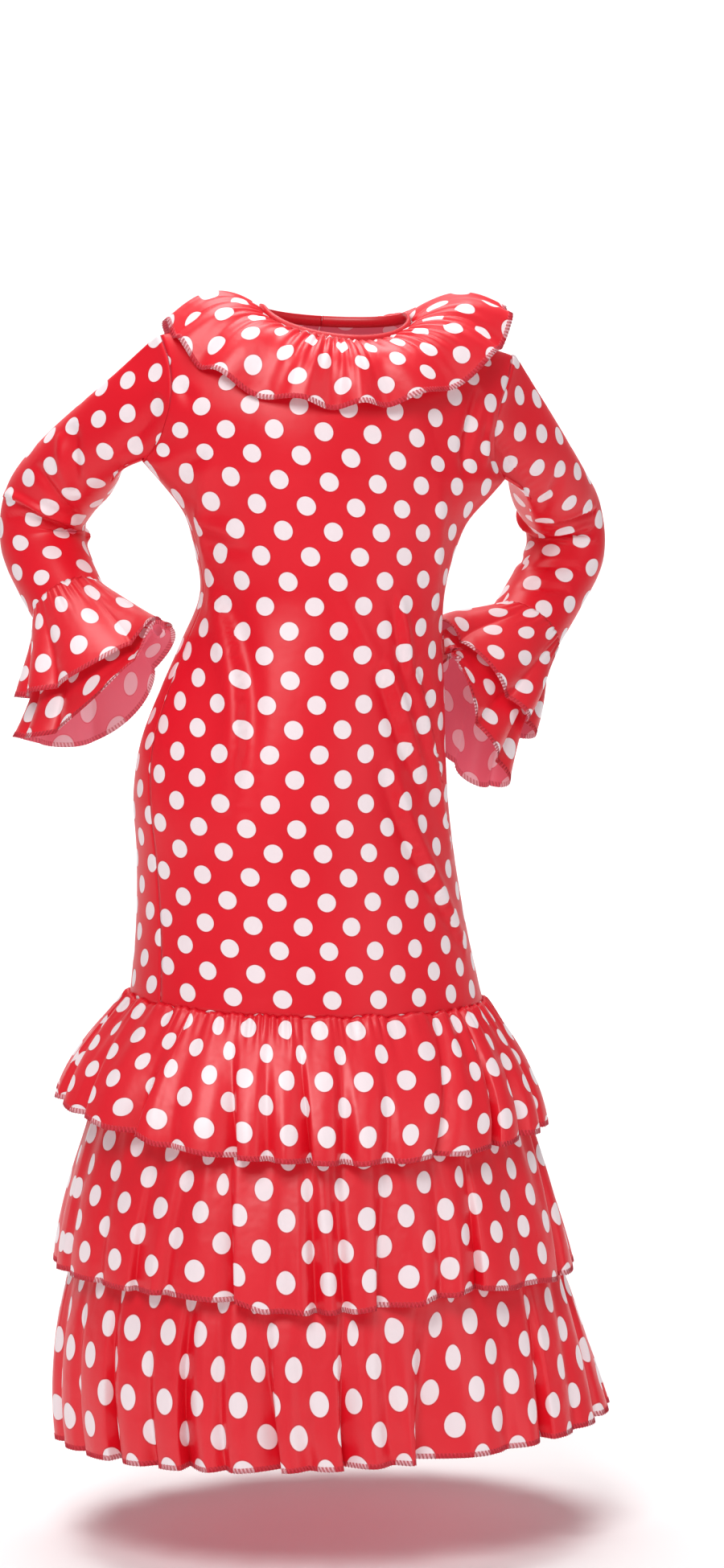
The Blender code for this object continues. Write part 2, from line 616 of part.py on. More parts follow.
def cloth_material(name, colour):
    material = bpy.data.materials.new(name)
    material.use_nodes = True
    shader = material.node_tree.nodes["Principled BSDF"]
    shader.inputs["Base Color"].default_value = (*colour, 1.0)
    shader.inputs["Roughness"].default_value = SATIN_ROUGHNESS
    shader.inputs["Metallic"].default_value = 0.0
    return material


def add_cloth(name, grid, closed, collection, colour=SATIN_RED, wall=WALL):
    # One piece of cloth from a grid of points whose rows run up or down and whose columns run round.
    rows, columns = grid.shape[:2]
    points = grid.reshape(-1, 3)
    faces = []
    for row in range(rows - 1):
        for column in range(columns if closed else columns - 1):
            after = (column + 1) % columns
            faces.append((row * columns + column, row * columns + after,
                          (row + 1) * columns + after, (row + 1) * columns + column))
    mesh = bpy.data.meshes.new(name)
    mesh.from_pydata([tuple(point) for point in points], [], faces)
    mesh.update()
    mesh.shade_smooth()
    piece = bpy.data.objects.new(name, mesh)
    collection.objects.link(piece)
    piece.data.materials.append(cloth_material(name, colour))
    thicken = piece.modifiers.new("cloth wall", "SOLIDIFY")
    thicken.thickness = wall
    thicken.offset = 1.0
    thicken.use_rim = True
    return piece


def build():
    clear_scene()
    dress = bpy.data.collections.new("flamenco_dress")
    bpy.context.scene.collection.children.link(dress)
    add_cloth("front", panel_grid(-1, front_columns()), False, dress)
    add_cloth("back_left", panel_grid(1, back_columns(1)[::-1]), False, dress)
    add_cloth("back_right", panel_grid(1, back_columns(-1)), False, dress)
    add_cloth("back_placket", placket_grid(), False, dress)
    add_cloth("neck_binding", binding_grid(), False, dress, BINDING_RED, BINDING_WALL)
    add_cloth("collar_ruffle", collar_grid(), False, dress)
    add_cloth("sleeve_right", sleeve_grid(RIGHT_ARM)[:, ::-1], True, dress)
    add_cloth("sleeve_left", sleeve_grid(LEFT_ARM), True, dress)
    for tier in ("upper", "lower"):
        add_cloth("cuff_" + tier + "_right", cuff_grid(tier, "right")[:, ::-1], True, dress)
        add_cloth("cuff_" + tier + "_left", cuff_grid(tier, "left"), True, dress)
    add_cloth("skirt_base", base_grid(), True, dress)
    for name in FLOUNCES:
        add_cloth(name, flounce_grid(name)[::-1], True, dress)


build()
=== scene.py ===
# The looks of the flamenco dress: thin polka-dot satin on the forms of the CAD pieces, with folds,
# puckers, creases, seams and overlocked edges. Metres, +Z up, front towards -Y, origin at the neck.
# Left and right are the wearer's, as in the CAD.

import json
import math
from collections import namedtuple

import bpy
import numpy as np
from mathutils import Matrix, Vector

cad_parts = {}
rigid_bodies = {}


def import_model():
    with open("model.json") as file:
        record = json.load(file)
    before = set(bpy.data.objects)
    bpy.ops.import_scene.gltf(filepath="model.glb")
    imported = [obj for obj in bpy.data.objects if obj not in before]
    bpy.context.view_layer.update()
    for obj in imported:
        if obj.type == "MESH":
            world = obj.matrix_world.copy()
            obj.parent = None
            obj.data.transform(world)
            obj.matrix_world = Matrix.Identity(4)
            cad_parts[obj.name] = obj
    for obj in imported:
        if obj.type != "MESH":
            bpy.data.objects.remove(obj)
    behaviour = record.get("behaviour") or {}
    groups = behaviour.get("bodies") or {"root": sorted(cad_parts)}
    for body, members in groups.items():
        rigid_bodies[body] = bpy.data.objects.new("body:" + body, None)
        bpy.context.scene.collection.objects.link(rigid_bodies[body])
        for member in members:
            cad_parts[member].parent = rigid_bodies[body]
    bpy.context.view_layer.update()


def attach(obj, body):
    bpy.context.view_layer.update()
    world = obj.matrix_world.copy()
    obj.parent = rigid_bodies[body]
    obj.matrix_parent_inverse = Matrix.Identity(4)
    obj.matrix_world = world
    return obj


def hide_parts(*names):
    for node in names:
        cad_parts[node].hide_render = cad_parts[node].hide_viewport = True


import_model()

# The cloth lies in the outer part of the CAD's wall.
wall = 0.0014
seamGap = 0.0004
neckGap = 0.1 * seamGap
flounceSeam = 0.0013
bindingWall = 0.0024
clothThickness = 0.0005
clothInset = wall - clothThickness

underarm = -0.125
knee = -0.545
neckHalfWidth = 0.062
neckSideHeight = -0.004
frontNeckDrop = 0.020
backNeckDrop = 0.007
shoulderHalfWidth = 0.1425
shoulderSlope = 0.28
shoulderRoll = 0.6
chestHalfWidth = 0.1462
chestEase = 3

# How fine the cloth is: rows and columns of points.
frontColumns = 116
backColumns = 58
lowerRows = 112
upperRows = 48
sleeveRows = 130
ringSides = 2 * upperRows

Section = namedtuple("Section", "height halfWidth halfDepth wing centre turn rightSeam leftSeam tilt")
body = [
    Section(knee, 0.1445, 0.1215, 0.000, -0.022, 16.0, 80, 92, -0.042),
    Section(-0.490, 0.1350, 0.1135, 0.000, -0.026, 14.5, 81, 92, -0.035),
    Section(-0.430, 0.1286, 0.1085, 0.000, -0.031, 13.0, 83, 92, -0.025),
    Section(-0.380, 0.1268, 0.1060, 0.000, -0.035, 12.0, 84, 92, -0.018),
    Section(-0.340, 0.1225, 0.1020, 0.000, -0.033, 10.0, 86, 92, -0.010),
    Section(-0.300, 0.1140, 0.0950, 0.000, -0.026, 7.5, 88, 91, -0.004),
    Section(-0.260, 0.1040, 0.0865, 0.000, -0.018, 5.5, 89, 91, 0.000),
    Section(-0.220, 0.0970, 0.0810, 0.000, -0.009, 3.5, 90, 90, 0.000),
    Section(-0.185, 0.1030, 0.0820, 0.001, -0.007, 2.0, 90, 90, -0.020),
    Section(-0.160, 0.1090, 0.0840, 0.005, -0.006, 1.0, 90, 90, -0.040),
    Section(-0.140, 0.1140, 0.0855, 0.017, -0.006, 0.0, 90, 90, -0.052),
    Section(underarm, 0.1165, 0.0865, 0.0285, -0.007, 0.0, 90, 90, -0.058),
]
wingSharpness = 7

Armhole = namedtuple("Armhole", "rise halfSpan centre")
armholes = [
    Armhole(0.00, 0.1450, -0.007),
    Armhole(0.12, 0.1375, -0.008),
    Armhole(0.35, 0.1320, -0.008),
    Armhole(0.60, 0.1320, -0.004),
    Armhole(0.82, 0.1370, 0.001),
    Armhole(1.00, 0.1425, 0.003),
]

ArmPoint = namedtuple("ArmPoint", "x y z radius")
arms = {
    "right": [
        ArmPoint(-0.140, 0.005, -0.070, 0.040),
        ArmPoint(-0.166, 0.034, -0.091, 0.034),
        ArmPoint(-0.188, 0.084, -0.121, 0.034),
        ArmPoint(-0.206, 0.122, -0.152, 0.034),
        ArmPoint(-0.210, 0.126, -0.185, 0.033),
        ArmPoint(-0.204, 0.105, -0.212, 0.031),
        ArmPoint(-0.197, 0.080, -0.234, 0.0295),
    ],
    "left": [
        ArmPoint(0.143, 0.005, -0.086, 0.040),
        ArmPoint(0.173, 0.036, -0.111, 0.033),
        ArmPoint(0.201, 0.086, -0.143, 0.031),
        ArmPoint(0.223, 0.122, -0.168, 0.031),
        ArmPoint(0.226, 0.124, -0.200, 0.031),
        ArmPoint(0.205, 0.106, -0.231, 0.030),
        ArmPoint(0.178, 0.080, -0.261, 0.030),
    ],
}
armholeReach = 0.38
armholeTurn = 0.003
# The way a sleeve leaves its armhole is read a little inside it and smoothed over its neighbours.
armholeInner = 0.96
armholeCalm = (-3, -2, -1, 1, 2, 3)
elbowSpread = 0.15
underarmWay = (-0.15, -0.20, -0.95)
wristWay = (-0.76, -0.46, 0.46)

CuffRing = namedtuple("CuffRing", "place middle inward forward sag")
cuffRings = {
    "right": [
        CuffRing(1.0, (-0.187, 0.031, -0.277), (0.047, -0.029, 0.029), (-0.019, -0.040, 0.005),
                 (0, 0, -0.013)),
        CuffRing(1.4, (-0.188, 0.025, -0.292), (0.050, -0.034, 0.046), (-0.021, -0.041, 0.009),
                 (0, 0, -0.033)),
    ],
    "left": [
        CuffRing(1.0, (0.131, 0.040, -0.299), (-0.034, 0.002, 0.0405), (0.0045, -0.041, 0.013),
                 (-0.008, 0.001, -0.008)),
        CuffRing(1.4, (0.121, 0.014, -0.3255), (-0.022, -0.010, 0.0515), (-0.003, -0.039, 0.023),
                 (-0.015, 0.006, -0.0065)),
    ],
}
cuffWaves = 7
cuffWaveHeight = 0.010
cuffInset = 0.0024
cuffStraight = 0.33
# How far to each side a form is read to find its direction.
probe = 0.01


def readRows(rows, place):
    # The columns after the first, eased smoothly between rows, at a place in the first column.
    table = np.array(rows, float)
    if table[0, 0] > table[-1, 0]:
        table = table[::-1]
    keys = table[:, 0]
    slopes = np.gradient(table, keys, axis=0)
    low = int(np.clip(np.searchsorted(keys, place) - 1, 0, len(keys) - 2))
    step = keys[low + 1] - keys[low]
    t = float(np.clip((place - keys[low]) / step, 0.0, 1.0))
    value = ((1 + 2 * t) * (1 - t) ** 2 * table[low] + t * (1 - t) ** 2 * step * slopes[low]
             + t * t * (3 - 2 * t) * table[low + 1] + t * t * (t - 1) * step * slopes[low + 1])
    return value[1:]


def unit(vectors):
    vectors = np.asarray(vectors, float)
    return vectors / np.maximum(np.linalg.norm(vectors, axis=-1, keepdims=True), 1e-9)


def smooth(low, high, value):
    t = np.clip((value - low) / (high - low), 0.0, 1.0)
    return t * t * (3 - 2 * t)


def between(low, high, share):
    return low + (high - low) * share


def turned(across, along, degrees):
    turn = math.radians(degrees)
    return (across * math.cos(turn) - along * math.sin(turn),
            across * math.sin(turn) + along * math.cos(turn))


def joined(*parts):
    # Coordinates side by side in a last axis, spread to one shape.
    return np.stack(np.broadcast_arrays(*parts), axis=-1)


def roundTurns(count):
    # Evenly spaced angles once round, without the last.
    return 2 * math.pi * np.arange(count) / count


def oval(angles, height, halfWidth, halfDepth, centre, turn, tilt, wing=0.0):
    # Points of a turned and tilted oval round the body; angle 0 is the centre front.
    across = halfWidth * np.sin(angles) + wing * np.sin(angles) ** wingSharpness
    x, y = turned(across, -halfDepth * np.cos(angles), turn)
    x = x + centre
    return joined(x, y, height + tilt * x)


def spread(angle, table):
    return angle + sum(row.share / row.times * np.sin(row.times * angle + row.start) for row in table)


def bodyAt(height):
    return Section(height, *readRows(body, height))


def bodyRow(height, angles, inset=0.0):
    # Points of the body at one height below the underarm.
    here = bodyAt(height)
    return oval(angles, height, here.halfWidth - inset, here.halfDepth - inset, here.centre, here.turn,
                here.tilt, here.wing)


def ridge(x):
    return neckSideHeight - shoulderSlope * (np.abs(x) - neckHalfWidth)


def armholeOutline(side, rise):
    halfSpan, centre = readRows(armholes, rise)
    return np.array((centre + side * halfSpan, underarm + (ridge(shoulderHalfWidth) - underarm) * rise))


def upperRow(face, s, rise):
    # Points above the underarm; face is -1 for the front and +1 for the back, s runs across it.
    s = np.asarray(s, float)
    neckDrop = frontNeckDrop if face < 0 else backNeckDrop
    chest = body[-1]
    swing = np.sin(s * math.pi / 2)
    lowX = chest.centre + chest.halfWidth * swing + chest.wing * swing ** wingSharpness
    along = np.clip((np.abs(s) - 0.5) / 0.5, 0, 1)
    tips = [armholeOutline(side, 1.0) for side in (-1, 1)]
    tip = np.where(s[:, None] < 0, tips[0], tips[1])
    neckX = neckHalfWidth * np.sin(math.pi * np.clip(s, -0.5, 0.5))
    neckZ = neckSideHeight - neckDrop * np.cos(math.pi * np.clip(s, -0.5, 0.5))
    highX = between(neckX, tip[:, 0], along)
    highZ = between(neckZ, tip[:, 1], along)
    across = (s + 1) / 2
    sides = [armholeOutline(side, rise) for side in (-1, 1)]
    lows = [armholeOutline(side, 0) for side in (-1, 1)]
    x, z = [(1 - rise) * low + rise * high + (1 - across) * sides[0][k] + across * sides[1][k]
            - (1 - rise) * ((1 - across) * lows[0][k] + across * lows[1][k])
            - rise * ((1 - across) * tips[0][k] + across * tips[1][k])
            for k, (low, high) in enumerate(((lowX, highX), (underarm, highZ)))]
    centre = (sides[0][0] + sides[1][0]) / 2
    below = np.clip((ridge(x) - z) / (ridge(x) - underarm), 0.0, 1.0)
    roll = (below * (2 - below)) ** shoulderRoll
    bulge = np.sqrt(np.maximum(0.0, 1 - ((x - centre) / chestHalfWidth) ** 2))
    bulge = between(bulge, np.cos(s * math.pi / 2), (1 - rise) ** chestEase)
    depth = chest.halfDepth * bulge * roll + seamGap / 2
    return joined(x, face * depth, z + chest.tilt * x)


def upperRises():
    return np.sin(math.pi / 2 * np.arange(upperRows + 1) / upperRows)


def panelColumns(face, side=0):
    inset = 1 - seamGap / 2 / body[-1].halfWidth
    if face < 0:
        return np.linspace(-inset, inset, frontColumns + 1)
    return side * np.linspace(seamGap / body[-1].halfWidth / 2, inset, backColumns + 1)


def panelGrid(face, columns):
    grid = []
    for height in np.linspace(knee, underarm, lowerRows + 1)[:-1]:
        here = bodyAt(height)
        seams = (np.radians(np.where(columns < 0, here.rightSeam, here.leftSeam))
                 - seamGap / 2 / here.halfWidth)
        angles = columns * seams
        if face > 0:
            span = math.pi - seams - seamGap / here.halfWidth
            angles = np.copysign(math.pi - np.abs(columns) * span, columns)
        grid.append(bodyRow(height, angles))
    for rise in upperRises():
        grid.append(upperRow(face, columns, rise))
    return np.array(grid)


def neckRow(angles):
    # Points of the neckline and the level way in from it; angle 0 is the front.
    s = np.arcsin(np.sin(angles)) / math.pi
    front = np.cos(angles)[:, None] >= 0
    points = np.where(front, upperRow(-1, s, 1.0), upperRow(1, s, 1.0))
    return points, joined(-np.sin(angles), np.cos(angles), 0)


def aroundNeck(count):
    gap = neckGap / neckHalfWidth
    return np.linspace(-math.pi + gap, math.pi - gap, count + 1)


def armFrame(side, along):
    # Middle, radius and the inner, forward and lengthwise directions of a sleeve at a fraction along.
    arm = arms[side]
    rows = [(step / (len(arm) - 1),) + tuple(point) for step, point in enumerate(arm)]
    here = readRows(rows, along)
    back = readRows(rows, max(0.0, along - elbowSpread))
    ahead = readRows(rows, min(1.0, along + elbowSpread))
    way = unit(ahead[:3] - back[:3])
    sign = -1 if side == "right" else 1
    under = between(np.array(underarmWay), np.array(wristWay), along) * (sign, 1, 1)
    under = unit(under - way * under.dot(way))
    return here[:3], here[3], under, np.cross(under, way) * sign, way


def armholeLoop(s, low):
    # Once round the armhole, or a ring inside it, from the underarm up the front and down the back.
    rises = upperRises()
    front = [upperRow(-1, [s], rise)[0] for rise in rises]
    back = [upperRow(1, [s], rise)[0] for rise in rises]
    return np.array([low] + front[1:-1] + [(front[-1] + back[-1]) / 2] + back[-2:0:-1])


def sleeveGrid(side):
    sign = -1 if side == "right" else 1
    s = sign * panelColumns(-1)[-1]
    low = (upperRow(-1, [s], 0)[0] + upperRow(1, [s], 0)[0]) / 2
    loop = armholeLoop(s, low)
    below = bodyRow(body[-2].height, np.array([sign * math.pi / 2]))[0]
    run = unit(loop - armholeLoop(armholeInner * s, below))
    run = unit(run + sum(np.roll(run, shift, axis=0) for shift in armholeCalm) / 3)
    turns = roundTurns(ringSides)
    rings = []
    for row in range(sleeveRows + 1):
        middle, radius, under, forward, _ = armFrame(side, row / sleeveRows)
        rings.append(middle + radius * (np.outer(np.cos(turns), under) + np.outer(np.sin(turns), forward)))
    rings = np.array(rings)
    shift = loop + run * armholeTurn - rings[0]
    for row in range(sleeveRows + 1):
        fade = max(0.0, 1 - row / sleeveRows / armholeReach)
        rings[row] += shift * fade * fade * (3 - 2 * fade)
    return np.concatenate(([loop + run * 2 * seamGap], rings))


def cuffForm(side, place, turns):
    middle, radius, under, forward, way = armFrame(side, 1.0)
    rows = [(0.0, *(middle + way * seamGap), *(radius * under), *(radius * forward), 0, 0, 0)]
    rows += [(ring.place, *ring.middle, *ring.inward, *ring.forward, *ring.sag) for ring in cuffRings[side]]
    values = readRows(rows, place).reshape(4, 3)
    return joined(1, np.cos(turns), np.sin(turns), np.sin(turns) ** 2) @ values


def cuffOutward(side, place, turns):
    ends = cuffForm(side, place, np.array((0.0, math.pi)))
    radial = unit(cuffForm(side, place, turns) - ends.mean(axis=0))
    run = cuffForm(side, place + probe, turns) - cuffForm(side, place - probe, turns)
    roundWay = cuffForm(side, place, turns + probe) - cuffForm(side, place, turns - probe)
    normal = unit(np.cross(roundWay, run))
    normal *= np.sign((normal * radial).sum(axis=1))[:, None]
    return unit(between(radial, normal, min(1.0, place / cuffStraight)))


# Gathered cloth: the waves round a ring are spread unevenly by these sines of the angle round it.
Spread = namedtuple("Spread", "times share start")
cuffSpread = [Spread(2, 0.18, 1.0), Spread(3, 0.27, 0.0)]
collarSpread = [Spread(2, 0.12, 0.6), Spread(5, 0.30, 0.0)]
valleyShape = 0.8
waveGrowth = 1.2


def crest(waves):
    return np.abs(np.sin(math.pi * waves)) ** valleyShape


cuffColumns = 168
cuffRows = 34


def cuffGrid(tier, side):
    upper = tier == "upper"
    hem = 1.0 if upper else cuffRings[side][-1].place
    turns = roundTurns(cuffColumns)
    waves = crest(cuffWaves * spread(turns, cuffSpread) / (2 * math.pi))
    grid = []
    for place in np.linspace(0, hem, cuffRows + 1):
        height = cuffWaveHeight * place / hem
        free = 0.0 if upper else max(0.0, place - 1) / (hem - 1)
        wave = height * waves
        if not upper:
            wave = wave + height * (free - 1) - cuffInset * (1 + math.sin(math.pi * min(place, 1)))
        grid.append(cuffForm(side, place, turns) + cuffOutward(side, place, turns) * wave[:, None])
    return np.array(grid)


collar = {
    "centre": 0.004, "halfWidth": 0.138, "frontReach": 0.090, "backReach": 0.086, "edgeHeight": 0.001,
    "frontDrop": 0.072, "backDrop": 0.060, "tilt": 0.05, "stand": (0.3, 0.75, 0.5), "shoulderRise": 0.4,
    "arch": 0.011, "shoulderArch": 0.5, "archPlace": 0.8, "waves": 14, "waveHeight": 0.0055,
    "columns": 420, "rows": 26,
}


def collarGrid():
    angles = aroundNeck(collar["columns"])
    points, _ = neckRow(angles)
    front = np.cos(angles) >= 0
    reach = np.where(front, collar["frontReach"], collar["backReach"])
    drop = np.where(front, collar["frontDrop"], collar["backDrop"])
    edgeX = collar["centre"] + collar["halfWidth"] * np.sin(angles)
    edge = joined(edgeX, -reach * np.cos(angles),
                  collar["edgeHeight"] + collar["tilt"] * edgeX - drop * np.abs(np.cos(angles)))
    shoulder = np.sin(angles) ** 2
    stand = collar["stand"]
    outward = unit(joined(stand[0] * np.sin(angles), -stand[1] * np.cos(angles),
                          stand[2] + collar["shoulderRise"] * shoulder))
    start = points + outward * (wall + 2 * seamGap)
    waves = np.cos(collar["waves"] * spread(angles, collarSpread))
    grid = []
    for out in np.linspace(1, 0, collar["rows"] + 1):
        arch = (collar["arch"] * (1 + collar["shoulderArch"] * shoulder)
                * math.sin(math.pi * out ** collar["archPlace"]))
        wave = collar["waveHeight"] * out ** waveGrowth * waves
        grid.append(between(start, edge, out) + outward * (arch + wave)[:, None])
    return np.array(grid)


Flounce = namedtuple("Flounce", "top topWidth topDepth topCentre topTilt hem width depth centre"
                                " tilt frontDrop flare sideWave frontWave hiddenFolds")
flounces = {
    "top": Flounce(knee, 0.1445, 0.1215, -0.022, -0.042, -0.6475, 0.1895, 0.162, -0.026,
                   -0.06, 0.006, 1.8, 0.012, 0.015, 14),
    "middle": Flounce(-0.622, 0.1712, 0.1445, -0.021, -0.02, -0.766, 0.2035, 0.177, -0.016,
                      0, 0, 1.5, 0.009, 0.014, 14),
    "bottom": Flounce(-0.735, 0.1912, 0.1635, -0.017, 0, -0.8855, 0.2165, 0.1875, -0.001,
                      0.02, -0.003, 2.0, 0.012, 0.015, 16),
}
flounceTurn = 16.0

# The folds that show, from the wearer's right round to the left. Hem and seam: where the valley lies
# there, in degrees from the centre front. Depth: its share of the wave height. Width: degrees from the
# valley to its lips. Lean: how far its floor lies under the left lip. Rise: how much the hem is lifted.
Fold = namedtuple("Fold", "hem seam depth width lean rise", defaults=(0, 0))
folds = {
    "top": [
        Fold(-104, -106, 0.6, 3.5, 0, 0.014), Fold(-90, -92, 0.7, 3.5, 1, 0.011),
        Fold(-72, -69, 1, 4.5, 2.5, 0.007), Fold(-58, -61, 0.4, 3.5, 0, 0.002),
        Fold(-44, -49, 1, 3.5, 3), Fold(-34, -38, 0.6, 2.5),
        Fold(-26, -29, 0.9, 2.5, 2.5), Fold(-16, -17, 0.8, 3),
        Fold(-6, -4, 0.5, 3, 0, 0.002), Fold(8, 19, 0.7, 3.5, -2, 0.006),
        Fold(24, 31, 0.9, 2.5, 3.5, 0.009), Fold(38, 43, 0.9, 4, 0, 0.012),
        Fold(52, 54, 0.6, 3.5, 0, 0.012),
    ],
    "middle": [
        Fold(-98, -98, 0.6, 3.5, 0, 0.014), Fold(-82, -81, 0.6, 3.5, 0, 0.014),
        Fold(-68, -66, 0.8, 3, -2.5, 0.013), Fold(-60, -56, 0.6, 2.5, -1, 0.013),
        Fold(-46, -46, 1, 2.5, 2.5, 0.011), Fold(-34, -32, 0.4, 3, 0, 0.003),
        Fold(-26, -25, 0.9, 2, 0, 0.002), Fold(-20, -19, 0.8, 2, 0, 0.002),
        Fold(-9, -5, 1, 4.5, -4, 0.004), Fold(2, 8, 0.5, 2.5, 0, 0.008),
        Fold(10, 18, 0.9, 2.5, 3, 0.010), Fold(26, 34, 0.3, 4, 0, 0.006),
        Fold(44, 58, 0.8, 3.5, 2, 0.002),
    ],
    "bottom": [
        Fold(-102, -103, 0.6, 3), Fold(-90, -92, 0.6, 3),
        Fold(-76, -77, 1, 2.5, -3), Fold(-66, -65, 0.6, 2.5),
        Fold(-56, -54, 1, 2.5, -3), Fold(-49, -46, 0.5, 2),
        Fold(-40, -38, 1, 3.5, 4), Fold(-31, -29, 0.4, 2.5),
        Fold(-22, -18, 0.9, 2.5, -2.5), Fold(-14, -10, 0.4, 2.5),
        Fold(-4, 4, 1, 6, -5), Fold(12, 21, 0.3, 3),
        Fold(22, 34, 0.8, 2.5, 3), Fold(34, 48, 0.3, 3),
        Fold(46, 62, 0.8, 3),
    ],
}
foldLip = 0.85
# The thin cloth folds in a little further than the CAD's wall does, most in the free bottom flounce.
foldDepth = {"top": 1.3, "middle": 1.2, "bottom": 1.6}


def hiddenFolds(first, last, count):
    # More of the same round the back, from the last fold that shows to the first, kept uneven by
    # sines of their number.
    made = []
    for number in range(1, count + 1):
        share = number / (count + 1)
        hem, seam, _, _, _, rise = between(np.array(last), np.array(first), share)
        made.append(Fold(hem + 2 * math.sin(2.4 * number), seam, 0.7 + 0.3 * math.sin(1.7 * number),
                         3.0 + math.sin(4.1 * number), 2.5 * math.sin(2.9 * number), rise))
    return made


def foldColumns(name):
    # Each fold's left lip, floor and right lip, and the middle of the cloth up to the next fold, as
    # angle at the hem, angle at the seam, share of the wave height and rise.
    shown = folds[name]
    around = shown[0]._replace(hem=shown[0].hem + 360, seam=shown[0].seam + 360)
    ring = shown + hiddenFolds(around, shown[-1], flounces[name].hiddenFolds)
    columns = []
    for fold, ahead in zip(ring, ring[1:] + [around]):
        high = [fold.hem + fold.width, fold.seam + fold.width, foldLip, fold.rise]
        low = [ahead.hem - ahead.width, ahead.seam - ahead.width, foldLip, ahead.rise]
        middle = [(a + b) / 2 for a, b in zip(high, low)]
        middle[2] = 1.0
        floor = [fold.hem + fold.lean, fold.seam, 1 - foldDepth[name] * fold.depth, fold.rise]
        columns += [[fold.hem - fold.width, fold.seam - fold.width, foldLip, fold.rise], floor, high, middle]
    return np.array(columns)


def easedColumns(columns, steps):
    # More columns between those of a closed ring, with no overshoot.
    ahead = np.roll(columns, -1, axis=0) - columns
    ahead[-1, :2] += 360
    back = np.roll(ahead, 1, axis=0)
    product = ahead * back
    slopes = np.where(product > 0, 2 * product / np.where(product > 0, ahead + back, 1), 0)
    u = (np.arange(steps) / steps)[None, :, None]
    start = columns[:, None]
    rise = ahead[:, None]
    full = (start + rise * (3 * u ** 2 - 2 * u ** 3) + slopes[:, None] * (u - 2 * u ** 2 + u ** 3)
            + np.roll(slopes, -1, axis=0)[:, None] * (u ** 3 - u ** 2))
    return full.reshape(-1, columns.shape[1])


flounceSteps = 6
flounceRows = 36


def flounceGrid(name):
    flounce = flounces[name]
    hem, seam, out, rise = easedColumns(foldColumns(name), flounceSteps).T
    grid = []
    for t in np.linspace(1, 0, flounceRows + 1):
        flared = 1 - (1 - t) ** flounce.flare
        angles = np.radians(between(seam, hem, t))
        waveHeight = between(flounce.frontWave, flounce.sideWave, np.sin(angles) ** 2)
        wave = waveHeight * t ** waveGrowth * out
        height = between(flounce.top, flounce.hem + rise, t) - flounce.frontDrop * t * np.cos(angles)
        grid.append(oval(angles, height, between(flounce.topWidth, flounce.width, flared) + wave,
                         between(flounce.topDepth, flounce.depth, flared) + wave,
                         between(flounce.topCentre, flounce.centre, t * t), flounceTurn,
                         between(flounce.topTilt, flounce.tilt, t)))
    if name == "top":
        grid[-1][:, 2] -= flounceSeam
    return np.array(grid)


BaseRing = namedtuple("BaseRing", "height halfWidth halfDepth centre tilt")
skirtBase = [
    BaseRing(-0.743, 0.1898, 0.1622, -0.017, 0.000),
    BaseRing(-0.622, 0.1689, 0.1422, -0.021, -0.020),
    BaseRing(knee, 0.1422, 0.1192, -0.022, -0.042),
    BaseRing(-0.538, 0.1408, 0.1180, -0.0223, -0.041),
]
baseColumns = 132


def baseGrid():
    angles = roundTurns(baseColumns)
    return np.array([oval(angles, ring.height, ring.halfWidth, ring.halfDepth, ring.centre, flounceTurn,
                          ring.tilt) for ring in skirtBase])


binding = {"height": 0.0085, "foot": 0.001, "lean": 0.2, "columns": 176}


def bindingGrid():
    points, inward = neckRow(aroundNeck(binding["columns"]))
    foot = points + inward * (bindingWall + 3 * seamGap) - (0, 0, binding["foot"])
    rise = unit(inward * binding["lean"] + (0, 0, 1)) * binding["height"]
    return np.array([foot + rise * share for share in (0.0, 0.5, 1.0)])


placket = {"halfWidth": 0.012, "top": -0.016, "length": 0.19, "inset": 0.0022, "rows": 40, "columns": 8}


def placketGrid():
    grid = []
    across = np.linspace(placket["halfWidth"], -placket["halfWidth"], placket["columns"] + 1)
    for height in np.linspace(placket["top"] - placket["length"], placket["top"], placket["rows"] + 1):
        if height < underarm:
            angles = math.pi - across / bodyAt(height).halfWidth
            grid.append(bodyRow(height, angles, placket["inset"]))
            continue
        s = np.arcsin(across / chestHalfWidth) * 2 / math.pi
        rise = (height - underarm) / (-underarm + neckSideHeight - backNeckDrop)
        way = unit(upperRow(1, s, min(1, rise + probe)) - upperRow(1, s, max(0, rise - probe)))
        inside = joined(0, -way[:, 2], way[:, 1])
        grid.append(upperRow(1, s, rise) + placket["inset"] * inside)
    return np.array(grid)


# Grids of points: rows run up or down and columns run round. The way along a row crossed with the way
# to the next row faces outwards.

def gridFaces(rows, columns, closed):
    # Quads between the rows and columns of a grid of points, numbered row by row.
    row = np.arange(rows - 1)[:, None] * columns
    column = np.arange(columns if closed else columns - 1)[None, :]
    after = (column + 1) % columns
    return joined(row + column, row + after, row + columns + after, row + columns + column).reshape(-1, 4)


def newObject(name, points, faces, materials=()):
    mesh = bpy.data.meshes.new(name)
    mesh.from_pydata(np.reshape(points, (-1, 3)).tolist(), [], np.asarray(faces).tolist())
    mesh.shade_smooth()
    for material in materials:
        mesh.materials.append(material)
    made = bpy.data.objects.new(name, mesh)
    bpy.context.scene.collection.objects.link(made)
    return made


def closedUp(grid, closed):
    return np.concatenate((grid, grid[:, :1]), axis=1) if closed else grid


def arcLengths(grid, axis):
    steps = np.linalg.norm(np.diff(grid, axis=axis), axis=-1)
    return np.concatenate((np.zeros_like(np.take(steps, [0], axis)), np.cumsum(steps, axis)), axis)


def outwardWays(grid, closed):
    if closed:
        across = np.roll(grid, -1, axis=1) - np.roll(grid, 1, axis=1)
    else:
        across = np.gradient(grid, axis=1)
    return unit(np.cross(across, np.gradient(grid, axis=0)))


